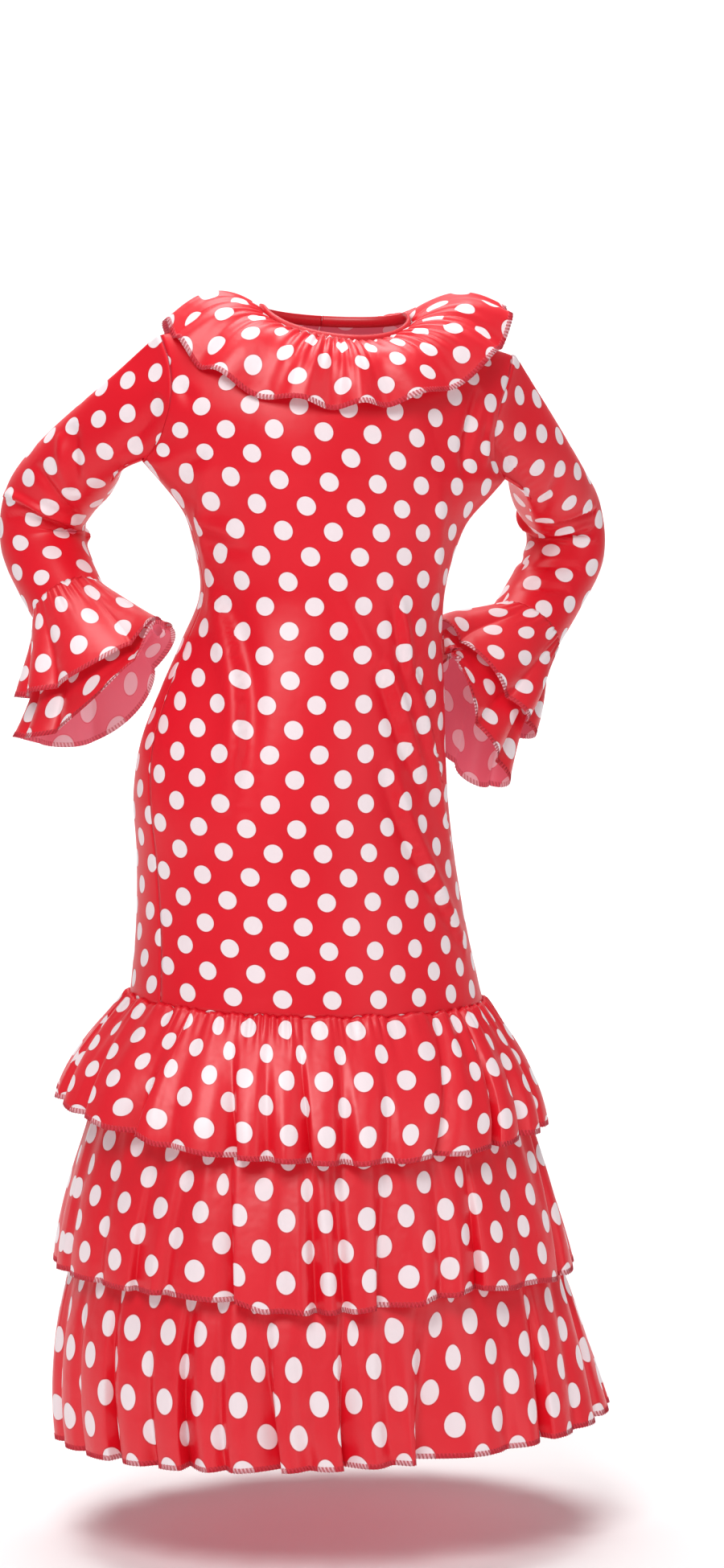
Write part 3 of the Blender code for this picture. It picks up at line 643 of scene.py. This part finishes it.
def panelPlaces(grid, closed, anchorColumn, anchorRow):
    # Where each point of a panel lies on the flat cloth: across from one column and up from one row.
    full = closedUp(grid, closed)
    across = arcLengths(full, 1)
    up = arcLengths(full, 0)
    up = up - up[[anchorRow]]
    up[:anchorRow] = up[:anchorRow, [anchorColumn]]
    return joined(across - across[:, [anchorColumn]], up)


flatteningSteps = 12


def gridArea(grid):
    corner = grid[:-1, :-1]
    return np.linalg.norm(np.cross(grid[1:, :-1] - corner, grid[:-1, 1:] - corner), axis=-1).sum()


def sleevePlaces(grid):
    # The sleeve cut open along the underside of the arm and laid flat with the least stretch.
    full = closedUp(grid, True)
    rows, columns = full.shape[:2]
    faces = gridFaces(rows, columns, False)
    sheet = newObject("flat sleeve", full, faces)
    mesh = sheet.data
    mesh.uv_layers.new(name="flat")
    bpy.context.view_layer.objects.active = sheet
    bpy.ops.object.mode_set(mode="EDIT")
    bpy.ops.mesh.select_all(action="SELECT")
    bpy.ops.uv.unwrap(method="MINIMUM_STRETCH", fill_holes=False, iterations=flatteningSteps)
    bpy.ops.object.mode_set(mode="OBJECT")
    loops = np.empty(len(mesh.loops) * 2)
    mesh.uv_layers[0].data.foreach_get("uv", loops)
    places = np.empty((rows * columns, 2))
    places[faces.reshape(-1)] = loops.reshape(-1, 2)
    places = places.reshape(rows, columns, 2)
    bpy.data.objects.remove(sheet)
    # True size, with the outer side of the forearm upright and the elbow at the origin.
    middle = ringSides // 2
    elbow = int(np.abs(grid[:, middle, 0]).argmax())
    scale = math.sqrt(gridArea(full) / gridArea(joined(*np.moveaxis(places, -1, 0), 0)))
    places = (places - places[elbow, middle]) * scale
    way = places[-1, middle]
    lean = math.degrees(math.atan2(way[0], -way[1]))
    return joined(*turned(*np.moveaxis(places, -1, 0), -lean))


def finer(values, times):
    # More rows between the rows there are.
    rows = np.arange((len(values) - 1) * times + 1) / times
    low = np.minimum(rows.astype(int), len(values) - 2)
    return between(values[low], values[low + 1], (rows - low)[:, None, None])


def gatheredPlaces(grid, closed, widthRow, hemRow):
    # A gathered strip is as wide at its seam as at its widest row; up is measured from its hem.
    full = closedUp(grid, closed)
    across = arcLengths(full, 1)[[widthRow]]
    down = arcLengths(full, 0).mean(axis=1, keepdims=True)
    down = abs(down - down[hemRow])
    return joined(across - across[:, [-1]] / 2, down)


# How the print lies on a piece: shifted across and up, turned in degrees and drawn out lengthwise.
# Its grain is how far across a straight thread lies at each height.
Grain = namedtuple("Grain", "up across")
Print = namedtuple("Print", "across up turn stretch grain", defaults=(0, 0, 0, 1, (Grain(0, 0),)))
frontGrain = [Grain(-0.420, -0.0615), Grain(-0.330, -0.0495), Grain(-0.210, -0.0405),
              Grain(-0.125, -0.0475), Grain(-0.040, -0.0555), Grain(0.100, -0.0600)]


def printed(places, lay):
    across, up = np.moveaxis(places, -1, 0)
    across = across - lay.across - np.interp(up, *np.transpose(lay.grain))
    return joined(*turned(across, (up - lay.up) / lay.stretch, lay.turn))


# Creases lie along a curve on the flat cloth from one end past its middle to the other end. Depth
# lifts the cloth along the line, and step lifts one side of it and lowers the other. In millimetres.
Crease = namedtuple("Crease", "x0 y0 x1 y1 x2 y2 width depth step", defaults=(1,))
creaseSteps = 25
creaseReach = 4
creaseTaper = 0.7
stepShare = 1.6


def creaseRelief(places, creases):
    relief = np.zeros(places.shape[:2])
    steps = np.linspace(0, 1, creaseSteps)
    for row in creases:
        crease = Crease(*(np.array(row) / 1000))
        ends = np.reshape(crease[:6], (3, 2))
        bend = 2 * ends[1] - (ends[0] + ends[2]) / 2
        line = [(1 - t) ** 2 * ends[0] + 2 * t * (1 - t) * bend + t * t * ends[2] for t in steps]
        apart = places[:, :, None, :] - np.array(line)
        distance = np.linalg.norm(apart, axis=-1)
        nearest = distance.argmin(axis=-1)
        away = distance.min(axis=-1)
        ways = np.gradient(np.array(line), axis=0)[nearest]
        offset = np.take_along_axis(apart, nearest[..., None, None], axis=2)[:, :, 0]
        sided = away * np.sign(ways[..., 0] * offset[..., 1] - ways[..., 1] * offset[..., 0])
        fade = np.sin(math.pi * steps[nearest]) ** creaseTaper
        fade = fade * np.exp(-(away / (creaseReach * crease.width)) ** 2)
        share = sided / crease.width
        relief += fade * (crease.depth + crease.step * stepShare * share) * np.exp(-share ** 2)
    return relief


def seamFade(places, reach=0.016):
    # 0 at the side edges of a panel and 1 away from them, so that seams stay closed.
    across = places[..., 0]
    return smooth(0, reach, np.minimum(abs(across - across[:, :1]), abs(across[:, -1:] - across)))


frontCreases = [
    Crease(-139, -40, -114, -45, -90, -48, 6, 3),
    Crease(-131, -54, -105, -58, -80, -59, 5, -2.5, 0.8),
    Crease(-128, -85, -84, -161, -95, -270, 12, 1.5, -6),
    Crease(-22, -83, 3, -122, 27, -156, 8, 1, 1.8),
    Crease(34, -92, 49, -133, 56, -160, 6, 1, 3.5),
    Crease(28, -145, 48, -190, 80, -255, 8, 1, 5),
    Crease(62, -150, 93, -214, 124, -312, 10, 1, -5),
    Crease(36, -222, 62, -299, 118, -385, 9, 0.8, 4.2),
    Crease(-172, -190, -174, -270, -185, -345, 6, -3),
    Crease(-110, 20, -126, -24, -138, -80, 9, 2),
    Crease(80, 10, 84, -55, 92, -115, 10, 1.8, -1),
    Crease(-156, -6, -134, 3, -112, 10, 6, -3),
    Crease(-143, 74, -134, 67, -120, 57, 6, -2.5),
    Crease(121, 84, 115, 50, 107, 0, 6, -4),
    Crease(131, 52, 150, 32, 156, 1, 6, -3, 0),
    Crease(136, 70, 138, 46, 132, 10, 5, 2.5),
]
# The backs are measured from their centre edges, the left one to minus and the right one to plus.
backCreases = {
    "left": [
        Crease(-118, -52, -85, -64, -50, -60, 6.5, -2.8),
        Crease(-124, -34, -92, -40, -66, -34, 6, 2.2),
        Crease(-80, -120, -64, -170, -72, -262, 10, 1.2, 4),
        Crease(-46, -150, -30, -215, -40, -330, 9, -1.2, -3.5),
        Crease(-118, 60, -104, 26, -98, -18, 6.5, -3.5),
        Crease(-100, 80, -84, 44, -74, 12, 8, 2),
    ],
    "right": [
        Crease(112, -48, 78, -55, 40, -66, 6.5, -2.8),
        Crease(120, -66, 94, -78, 70, -80, 5.5, 2.2),
        Crease(92, -100, 70, -160, 78, -240, 10, 1.2, 4.5),
        Crease(50, -190, 44, -260, 66, -350, 10, -1.2, -3.5),
        Crease(124, 66, 112, 34, 108, -10, 6, -3.5),
    ],
}
# A sleeve is measured from the outer side of the elbow. The visible side is plus on the right one
# and minus on the left one.
sleeveCreases = {
    "right": [
        Crease(18, 27, 72, 30, 106, 6, 4.2, 2, 3.4),
        Crease(30, 14, 70, 19, 98, 0, 4.5, -2.4),
        Crease(44, 71, 70, 61, 94, 32, 6, -2.8, 1.6),
        Crease(50, 122, 71, 102, 90, 66, 7, -3.2),
        Crease(46, 106, 64, 92, 82, 70, 5, 2.2, 0),
        Crease(88, 202, 97, 166, 98, 130, 10, -4),
        Crease(-16, 20, -62, 26, -98, 6, 5, 2, 3),
        Crease(-36, 60, -66, 50, -90, 24, 6, -2.8),
        Crease(-52, 110, -72, 96, -92, 64, 7, -2.8),
        Crease(-40, -20, -66, -16, -90, -28, 6, -1.8),
    ],
    "left": [
        Crease(-104, 36, -81, 45, -36, 29, 4.5, -2.4, 3.4),
        Crease(-100, 10, -73, 23, -44, 12, 4.2, 2.2),
        Crease(-98, -4, -71, -2, -40, 0, 4.5, 1.8),
        Crease(-100, -42, -77, -37, -52, -28, 6, -1.8, 0.8),
        Crease(-100, -63, -76, -63, -50, -54, 6, -1.8, 0.8),
        Crease(-96, 235, -93, 173, -97, 48, 10, -3.2),
        Crease(-62, 110, -78, 88, -92, 62, 7, -2.2),
        Crease(20, 28, 60, 32, 96, 14, 5, 2, 3),
        Crease(34, 64, 64, 52, 90, 30, 6, -2.8),
        Crease(50, -20, 70, -16, 92, -30, 6, -1.8),
    ],
}


# Small gathers that leave the seam of a gathered strip and fade out. Sines with no common period
# make their spacing, length and strength uneven.
Gathers = namedtuple("Gathers", "seed height reach pitch", defaults=(0.022, 0.0095))


def gathered(places, seamRow, gathers):
    seed, height, reach, pitch = gathers
    along = places[..., 0] / pitch
    wander = 0.9 * np.sin(0.61 * along + seed) + 0.7 * np.sin(0.23 * along + 2 * seed)
    ripple = 0.5 + 0.5 * np.cos(2 * math.pi * along + 2.2 * wander)
    length = reach * (0.75 + 0.45 * np.sin(0.83 * along + 3 * seed) * np.sin(0.31 * along + seed))
    down = np.abs(places[seamRow, 0, 1] - places[..., 1])
    strength = np.exp(-(down / length) ** 2) * (0.7 + 0.3 * np.sin(0.47 * along + 5 * seed))
    return height * ripple * strength


calmReach = 12


def addPiece(name, grid, places, closed, node, outside, inside, relief=0.0, hemRow=None,
             thickness=clothThickness, inset=clothInset):
    # A thin shell whose outer side is the CAD wall's outer side. Places is where the print lies.
    rows, columns = grid.shape[:2]
    ways = outwardWays(grid, closed)
    if hemRow is not None:
        # Gathered cloth moves out evenly, so that a narrow valley isn't pushed through itself.
        ways = unit(sum(np.roll(ways, shift, axis=1) for shift in range(-calmReach, calmReach + 1)))
    base = grid + ways * inset
    if np.ndim(relief):
        if hemRow is None:
            ways = outwardWays(base, closed)
        base = base + ways * relief[:, :columns, None]
    piece = newObject(name, base, gridFaces(rows, columns, closed), (outside, inside))
    edge = np.ones_like(places)
    if hemRow is not None:
        full = closedUp(base, closed)
        up = arcLengths(full, 0)
        edge = joined(arcLengths(full, 1)[[hemRow]], abs(up - up[[hemRow]]))
    for layerName, values in (("cloth", places), ("edge", edge)):
        flat = [values[:-1, :-1], values[:-1, 1:], values[1:, 1:], values[1:, :-1]]
        layer = piece.data.uv_layers.new(name=layerName)
        layer.data.foreach_set("uv", np.stack(flat, axis=2).reshape(-1).astype(np.float32))
    thicken = piece.modifiers.new("cloth", "SOLIDIFY")
    thicken.thickness = thickness
    thicken.offset = 1.0
    thicken.material_offset = 1
    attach(piece, "root")
    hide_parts(node)
    return base + outwardWays(base, closed) * thickness


class Shade:
    # A shader value: arithmetic on it adds Math nodes.
    def __init__(self, tree, socket=None):
        self.tree = tree
        self.socket = socket

    def node(self, kind, inputs, output=0, **settings):
        made = self.tree.nodes.new("ShaderNode" + kind)
        for name, value in settings.items():
            setattr(made, name, value)
        for name, value in inputs.items():
            if isinstance(value, Shade):
                value.into(made, name)
            else:
                made.inputs[name].default_value = value
        return Shade(self.tree, made.outputs[output])

    def into(self, node, name):
        self.tree.links.new(self.socket, node.inputs[name])

    def maths(self, operation, *others):
        return self.node("Math", dict(enumerate((self,) + others)), operation=operation)

    def vectors(self, operation, *others, output=0):
        return self.node("VectorMath", dict(enumerate((self,) + others)), output, operation=operation)

    def __add__(self, other):
        return self.maths("ADD", other)

    def __sub__(self, other):
        return self.maths("SUBTRACT", other)

    def __mul__(self, other):
        return self.maths("MULTIPLY", other)

    def __truediv__(self, other):
        return self.maths("DIVIDE", other)

    def fade(self, low, high):
        # 0 on low's side and 1 on high's side.
        return self.node("MapRange", {"Value": self, "From Min": low, "From Max": high},
                         interpolation_type="SMOOTHSTEP")

    def mix(self, low, high):
        # A colour from low to high, with this value as the share of high.
        return self.node("Mix", {0: self, 6: low, 7: high}, 2, data_type="RGBA")

    def noise(self, scale, detail):
        places = self.node("TexCoord", {}, "Object")
        return self.node("TexNoise", {"Vector": places, "Scale": scale, "Detail": detail})

    def bump(self, shader, strength):
        # This value as a height in metres on a surface.
        self.node("Bump", {"Height": self, "Strength": strength, "Distance": 1.0}).into(shader, "Normal")


def newMaterial(name):
    material = bpy.data.materials.new(name)
    material.use_nodes = True
    return material, material.node_tree.nodes["Principled BSDF"], Shade(material.node_tree)


dots = {"repeat": 0.0387, "radius": 0.0073, "blur": 0.00035, "ring": 0.0005}
overlock = {"height": 0.0042, "fadeFrom": 0.92, "pitch": 0.0030, "slant": 0.35, "cover": 0.85,
            "relief": 0.0004, "roughness": 0.2}
weaves = {"cloudScale": 9.0, "rippleScale": 45.0, "scale": 1500.0, "detail": 2.0, "relief": 0.00004,
        "roughness": 0.08, "bump": 0.8}


def dotDistance(start):
    # Metres from the middle of the nearest dot of a staggered lattice.
    places = start.node("UVMap", {}, uv_map="cloth")
    nearest = None
    for shift in (0.5, 0.0):
        scaled = places.vectors("MULTIPLY_ADD", (1 / dots["repeat"],) * 3, (shift, shift, 0))
        centred = scaled.vectors("FRACTION").vectors("SUBTRACT", (0.5, 0.5, 0))
        length = centred.vectors("LENGTH", output="Value")
        nearest = length if nearest is None else nearest.maths("MINIMUM", length)
    return nearest * dots["repeat"]


def satinMaterial(name, look):
    material, shader, start = newMaterial(name)
    distance = dotDistance(start)
    dot = distance.fade(dots["radius"] + dots["blur"], dots["radius"] - dots["blur"])
    ring = (distance - dots["radius"] - dots["ring"]).maths("ABSOLUTE").fade(0.0, dots["ring"])
    cloud = start.noise(weaves["cloudScale"], weaves["detail"]).fade(0.3, 0.7)
    ground = cloud.mix(look["ground"], look["groundLight"])
    colour = dot.mix(ring.mix(look["ring"], ground), look["dot"])
    # The overlocked edge: slanted stitches over the cloth's rim.
    edge = start.node("UVMap", {}, uv_map="edge")
    along, above = [start.node("SeparateXYZ", {0: edge}, axis) for axis in (0, 1)]
    band = above.fade(overlock["height"], overlock["height"] * overlock["fadeFrom"])
    slanted = (along + above * overlock["slant"]) / overlock["pitch"]
    stitch = ((slanted.maths("FRACT") - 0.5).maths("ABSOLUTE") * 2).fade(0.25, 0.75)
    stitched = stitch.mix(look["threadDark"], look["thread"])
    overDot = (band * dot * stitch).mix(stitched, look["threadOnDot"])
    (band * overlock["cover"]).mix(colour, overDot).into(shader, "Base Color")
    weave = start.noise(weaves["scale"], weaves["detail"])
    ripple = start.noise(weaves["rippleScale"], weaves["detail"]) * look["ripple"]
    (ripple + weave * weaves["relief"] + band * stitch * overlock["relief"]).bump(shader, weaves["bump"])
    rough = (weave - 0.5) * weaves["roughness"] + look["roughness"] + band * overlock["roughness"]
    rough.into(shader, "Roughness")
    # Painted glow: an even emission, red on the ground and pale on the dots, stands in for light that comes
    # through the thin cloth and keeps its shaded folds red.
    dot.mix(look["paintedGlow"], look["paintedDotGlow"]).into(shader, "Emission Color")
    shader.inputs["Emission Strength"].default_value = 1.0
    shader.inputs["Specular IOR Level"].default_value = look["specular"]
    return material


outsideLook = {
    "ground": (0.62, 0.003, 0.014, 1), "groundLight": (0.66, 0.006, 0.018, 1), "dot": (0.80, 0.69, 0.72, 1),
    "ring": (0.46, 0.003, 0.012, 1), "thread": (0.62, 0.02, 0.05, 1), "threadDark": (0.46, 0.004, 0.014, 1),
    "threadOnDot": (0.82, 0.42, 0.48, 1), "roughness": 0.42, "specular": 0.36,
    # The two glow colours are painted glow: emission that keeps the shaded folds red and the dots pale.
    "ripple": 0.0006, "paintedGlow": (0.09, 0.0, 0.001, 1), "paintedDotGlow": (0.07, 0.05, 0.05, 1),
}
# The gathered strips catch more light on their folds.
gatheredLook = dict(outsideLook, roughness=0.41, specular=0.62, ripple=0.0013)
insideLook = {
    "ground": (0.70, 0.11, 0.16, 1), "groundLight": (0.74, 0.14, 0.19, 1), "dot": (0.76, 0.46, 0.51, 1),
    "ring": (0.66, 0.08, 0.12, 1), "thread": (0.72, 0.08, 0.11, 1), "threadDark": (0.46, 0.02, 0.03, 1),
    "threadOnDot": (0.80, 0.40, 0.45, 1), "roughness": 0.50, "specular": 0.40,
    # The two glow colours are painted glow: emission that keeps the shaded folds of the reverse pink and its
    # dots pale.
    "ripple": 0.0006, "paintedGlow": (0.14, 0.035, 0.05, 1), "paintedDotGlow": (0.15, 0.10, 0.11, 1),
}
satin = satinMaterial("polka dot satin", outsideLook)
lightSatin = satinMaterial("polka dot satin gathered", gatheredLook)
satinInside = satinMaterial("satin reverse", insideLook)


def plainMaterial(name, dark, light, grain, roughness):
    material, shader, start = newMaterial(name)
    weave = start.noise(grain, 3.0)
    weave.mix(dark, light).into(shader, "Base Color")
    (weave * 0.0001).bump(shader, 0.6)
    shader.inputs["Roughness"].default_value = roughness
    return material


bindingSatin = plainMaterial("plain satin binding", (0.52, 0.006, 0.014, 1), (0.68, 0.012, 0.022, 1),
                             900.0, 0.38)
threadLook = plainMaterial("overlock thread", (0.62, 0.02, 0.04, 1), (0.80, 0.10, 0.14, 1), 400.0, 0.6)

# Stitches of the overlocked edges: a thread that zigzags over the rim of the cloth, on its outer side,
# from just under the hem to a few millimetres above it.
thread = {"radius": 0.00022, "pitch": 0.0032, "over": 0.0042, "under": 0.0004, "lift": 0.0002, "sides": 3,
          "across": (0.31, 0.22, 0.93)}


def addThread(name, points):
    ways = unit(np.gradient(points, axis=0))
    side = unit(np.cross(ways, thread["across"]))[:, None]
    other = np.cross(ways[:, None], side)
    turns = roundTurns(thread["sides"])[:, None]
    rings = points[:, None] + thread["radius"] * (np.cos(turns) * side + np.sin(turns) * other)
    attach(newObject(name, rings, gridFaces(len(points), len(turns), True), (threadLook,)), "root")


def stitchedEdge(name, surface, closed, hemRow):
    full = closedUp(surface, closed)
    hem, inner = full[[-1, -2]] if hemRow else full[:2]
    up = unit(inner - hem)
    out = unit(np.cross(np.gradient(hem, axis=0), up)) * (-1 if hemRow else 1)
    length = arcLengths(hem, 0)
    count = 2 * int(length[-1] / thread["pitch"])
    at = np.linspace(0, length[-1], count + 1)
    hem, up, out = [joined(*[np.interp(at, length, column) for column in values.T])
                    for values in (hem, up, out)]
    high = (np.arange(count + 1) % 2)[:, None]
    height = high * (thread["over"] + thread["under"]) - thread["under"]
    addThread(name, hem + up * height + out * thread["lift"])


# The cut of each piece: width, length and flat area, how it is held and what it hangs from.
Cut = namedtuple("Cut", "width length area held hangsFrom")
cuts = {
    "frontCloth": Cut(0.345, 0.6, 0.187, "hung", "neckBinding"),
    "leftBackCloth": Cut(0.175, 0.6, 0.094, "hung", "neckBinding"),
    "rightBackCloth": Cut(0.18, 0.6, 0.098, "hung", "neckBinding"),
    "leftSleeveCloth": Cut(0.245, 0.36, 0.06, "hung", "frontCloth leftBackCloth"),
    "rightSleeveCloth": Cut(0.237, 0.335, 0.056, "hung", "frontCloth rightBackCloth"),
    "leftUpperCuff": Cut(0.38, 0.083, 0.0315, "gathered", "leftSleeveCloth"),
    "rightUpperCuff": Cut(0.412, 0.075, 0.0309, "gathered", "rightSleeveCloth"),
    "leftLowerCuff": Cut(0.396, 0.123, 0.038, "gathered", "leftSleeveCloth"),
    "rightLowerCuff": Cut(0.464, 0.106, 0.036, "gathered", "rightSleeveCloth"),
    "collarRuffle": Cut(0.845, 0.08, 0.0675, "gathered", "neckBinding"),
    "neckBinding": Cut(0.333, 0.0105, 0.00349, "folded", "frontCloth"),
    "backPlacket": Cut(0.024, 0.19, 0.00455, "hung", "leftBackCloth"),
    "skirtBase": Cut(1.107, 0.215, 0.207, "hung", "frontCloth"),
    "topFlounce": Cut(1.49, 0.108, 0.1605, "gathered", "skirtBase"),
    "middleFlounce": Cut(1.476, 0.145, 0.214, "gathered", "skirtBase"),
    "bottomFlounce": Cut(1.813, 0.159, 0.288, "gathered", "skirtBase"),
}


def declareSheets():
    for name, cut in cuts.items():
        piece = bpy.data.objects[name]
        stitches = [other for other in bpy.data.objects if other.name == name + "Stitches"]
        for part in [piece] + stitches:
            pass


def addPanel(name, grid, places, lay, closed, node, creases, depth):
    # A panel with its print and its creases, which depth strengthens.
    relief = depth * creaseRelief(places, creases) * seamFade(places)
    addPiece(name, grid, printed(places, lay), closed, node, satin, satinInside, relief)


def addStrip(name, grid, closed, node, lay, widthRow, hemRow, gathers):
    # A gathered strip, laid flat by its widest row, with its gathers and its overlocked hem.
    places = gatheredPlaces(grid, closed, widthRow, hemRow)
    seamRow = 0 if hemRow else -1
    relief = sum(gathered(places, seamRow, row) for row in gathers)
    surface = addPiece(name, grid, printed(places, lay), closed, node, lightSatin, satinInside,
                       relief, hemRow)
    stitchedEdge(name + "Stitches", surface, closed, hemRow)


# The print's place, how strongly the panels crease and how many times finer the sleeves' rows are.
panels = {
    "bodyUp": -0.1993, "bodyCreases": 1.3, "sleeveCreases": 1.5, "sleeveFineness": 2,
    "sleevePrints": {"right": Print(-0.0055, 0.0205, -15, 1.03), "left": Print(0.004, 0.012, 8, 1.12)},
}
front = panelGrid(-1, panelColumns(-1))
addPanel("frontCloth", front, panelPlaces(front, False, frontColumns // 2, lowerRows),
         Print(up=panels["bodyUp"], grain=frontGrain), False, "front", frontCreases, panels["bodyCreases"])
print("front done")
# Columns run the other way on the left, so that every face looks outwards.
for side, sign, step in (("left", 1, -1), ("right", -1, 1)):
    back = panelGrid(1, panelColumns(1, sign))[:, ::step]
    places = panelPlaces(back, False, backColumns if side == "left" else 0, lowerRows)
    addPanel(side + "BackCloth", back, places, Print(up=panels["bodyUp"]), False, "back_" + side,
             backCreases[side], panels["bodyCreases"])
    sleeve = sleeveGrid(side)[:, ::step]
    places, sleeve = [finer(values, panels["sleeveFineness"]) for values in (sleevePlaces(sleeve), sleeve)]
    addPanel(side + "SleeveCloth", sleeve, places, panels["sleevePrints"][side], True, "sleeve_" + side,
             sleeveCreases[side], panels["sleeveCreases"])
    for tier, height in (("upper", 0.0016), ("lower", 0.0)):
        addStrip(side + tier.capitalize() + "Cuff", cuffGrid(tier, side)[:, ::step], True,
                 "cuff_" + tier + "_" + side, Print(), cuffRows * 3 // 4, cuffRows,
                 [Gathers(1.3 + sign, height)])
print("back, sleeves and cuffs done")
addStrip("collarRuffle", collarGrid(), False, "collar_ruffle", Print(), collar["rows"] // 4, 0,
         [Gathers(0.7, 0.0034, 0.050, 0.0125)])
neck = bindingGrid()
addPiece("neckBinding", neck, panelPlaces(neck, False, 0, 0), False, "neck_binding",
         bindingSatin, bindingSatin, thickness=bindingWall, inset=0.0)
strip = placketGrid()
addPiece("backPlacket", strip, panelPlaces(strip, False, 0, 0), False, "back_placket",
         satinInside, satinInside)
base = baseGrid()
addPiece("skirtBase", base, panelPlaces(base, True, 0, 0), True, "skirt_base", satin, satinInside)
flounceStretch = {"top": 1.0, "middle": 1.2, "bottom": 1.4}
for number, name in enumerate(flounces):
    addStrip(name + "Flounce", flounceGrid(name), True, "flounce_" + name,
             Print(stretch=flounceStretch[name]), flounceRows // 3, 0,
             [Gathers(0.4 + number, 0.0024), Gathers(2.1 + number, 0.0036, 0.10, 0.034)])
declareSheets()
print("collar, neck and flounces done")

# Stage: a pale floor that sweeps up behind, soft lights and the camera.
stage = {
    "floor": -0.975, "halfWidth": 13.0, "front": -12.0, "back": 10.5, "sweep": 2.5, "height": 10.0,
    "colour": (0.90, 0.90, 0.90, 1), "roughness": 0.9, "steps": 12, "worldStrength": 0.25,
}


def sweepBackdrop():
    turns = np.linspace(0, math.pi / 2, stage["steps"] + 1)
    bend = stage["sweep"] * joined(np.sin(turns), 1 - np.cos(turns)) + (stage["back"], 0)
    profile = [(stage["front"], 0), *bend, (stage["back"] + stage["sweep"], stage["height"])]
    points = [(x, y, stage["floor"] + z) for y, z in profile
              for x in (-stage["halfWidth"], stage["halfWidth"])]
    material, shader, _ = newMaterial("pale paper")
    shader.inputs["Base Color"].default_value = stage["colour"]
    shader.inputs["Roughness"].default_value = stage["roughness"]
    newObject("backdrop", points, gridFaces(len(profile), 2, False), (material,))


def aimed(name, data, place, aim):
    # A light or camera that looks from its place at a point.
    made = bpy.data.objects.new(name, data)
    bpy.context.scene.collection.objects.link(made)
    made.location = place
    made.rotation_euler = (Vector(aim) - made.location).to_track_quat("-Z", "Y").to_euler()
    return made


sweepBackdrop()
Light = namedtuple("Light", "name place aim size power")
for light in (Light("key", (-1.05, -2.10, 1.55), (0, 0, -0.6), 1.3, 54),
              Light("fill", (2.3, -2.6, 0.3), (0, 0, -0.55), 2.0, 16),
              Light("back", (0.0, 1.2, 3.4), (0, 2.5, -0.8), 3.0, 190),
              Light("wall", (2.6, 6.0, 6.0), (3.6, 12.5, 0.5), 6.0, 760)):
    lamp = bpy.data.lights.new(light.name, "AREA")
    lamp.shape = "SQUARE"
    lamp.size = light.size
    lamp.energy = light.power
    aimed(light.name, lamp, light.place, light.aim)
world = bpy.data.worlds.new("studio")
world.use_nodes = True
sky = world.node_tree.nodes["Background"]
sky.inputs["Color"].default_value = (1, 1, 1, 1)
sky.inputs["Strength"].default_value = stage["worldStrength"]
bpy.context.scene.world = world
# Colours show as they are, with no film curve.
bpy.context.scene.view_settings.view_transform = "Standard"

view = {"place": (-1.0427, -4.2747, 0.080), "aim": (0.0217, -0.0054, -0.374), "lens": 127.6, "sensor": 36}
lens = bpy.data.cameras.new("camera")
lens.lens = view["lens"]
lens.sensor_width = view["sensor"]
bpy.context.scene.camera = aimed("camera", lens, view["place"], view["aim"])
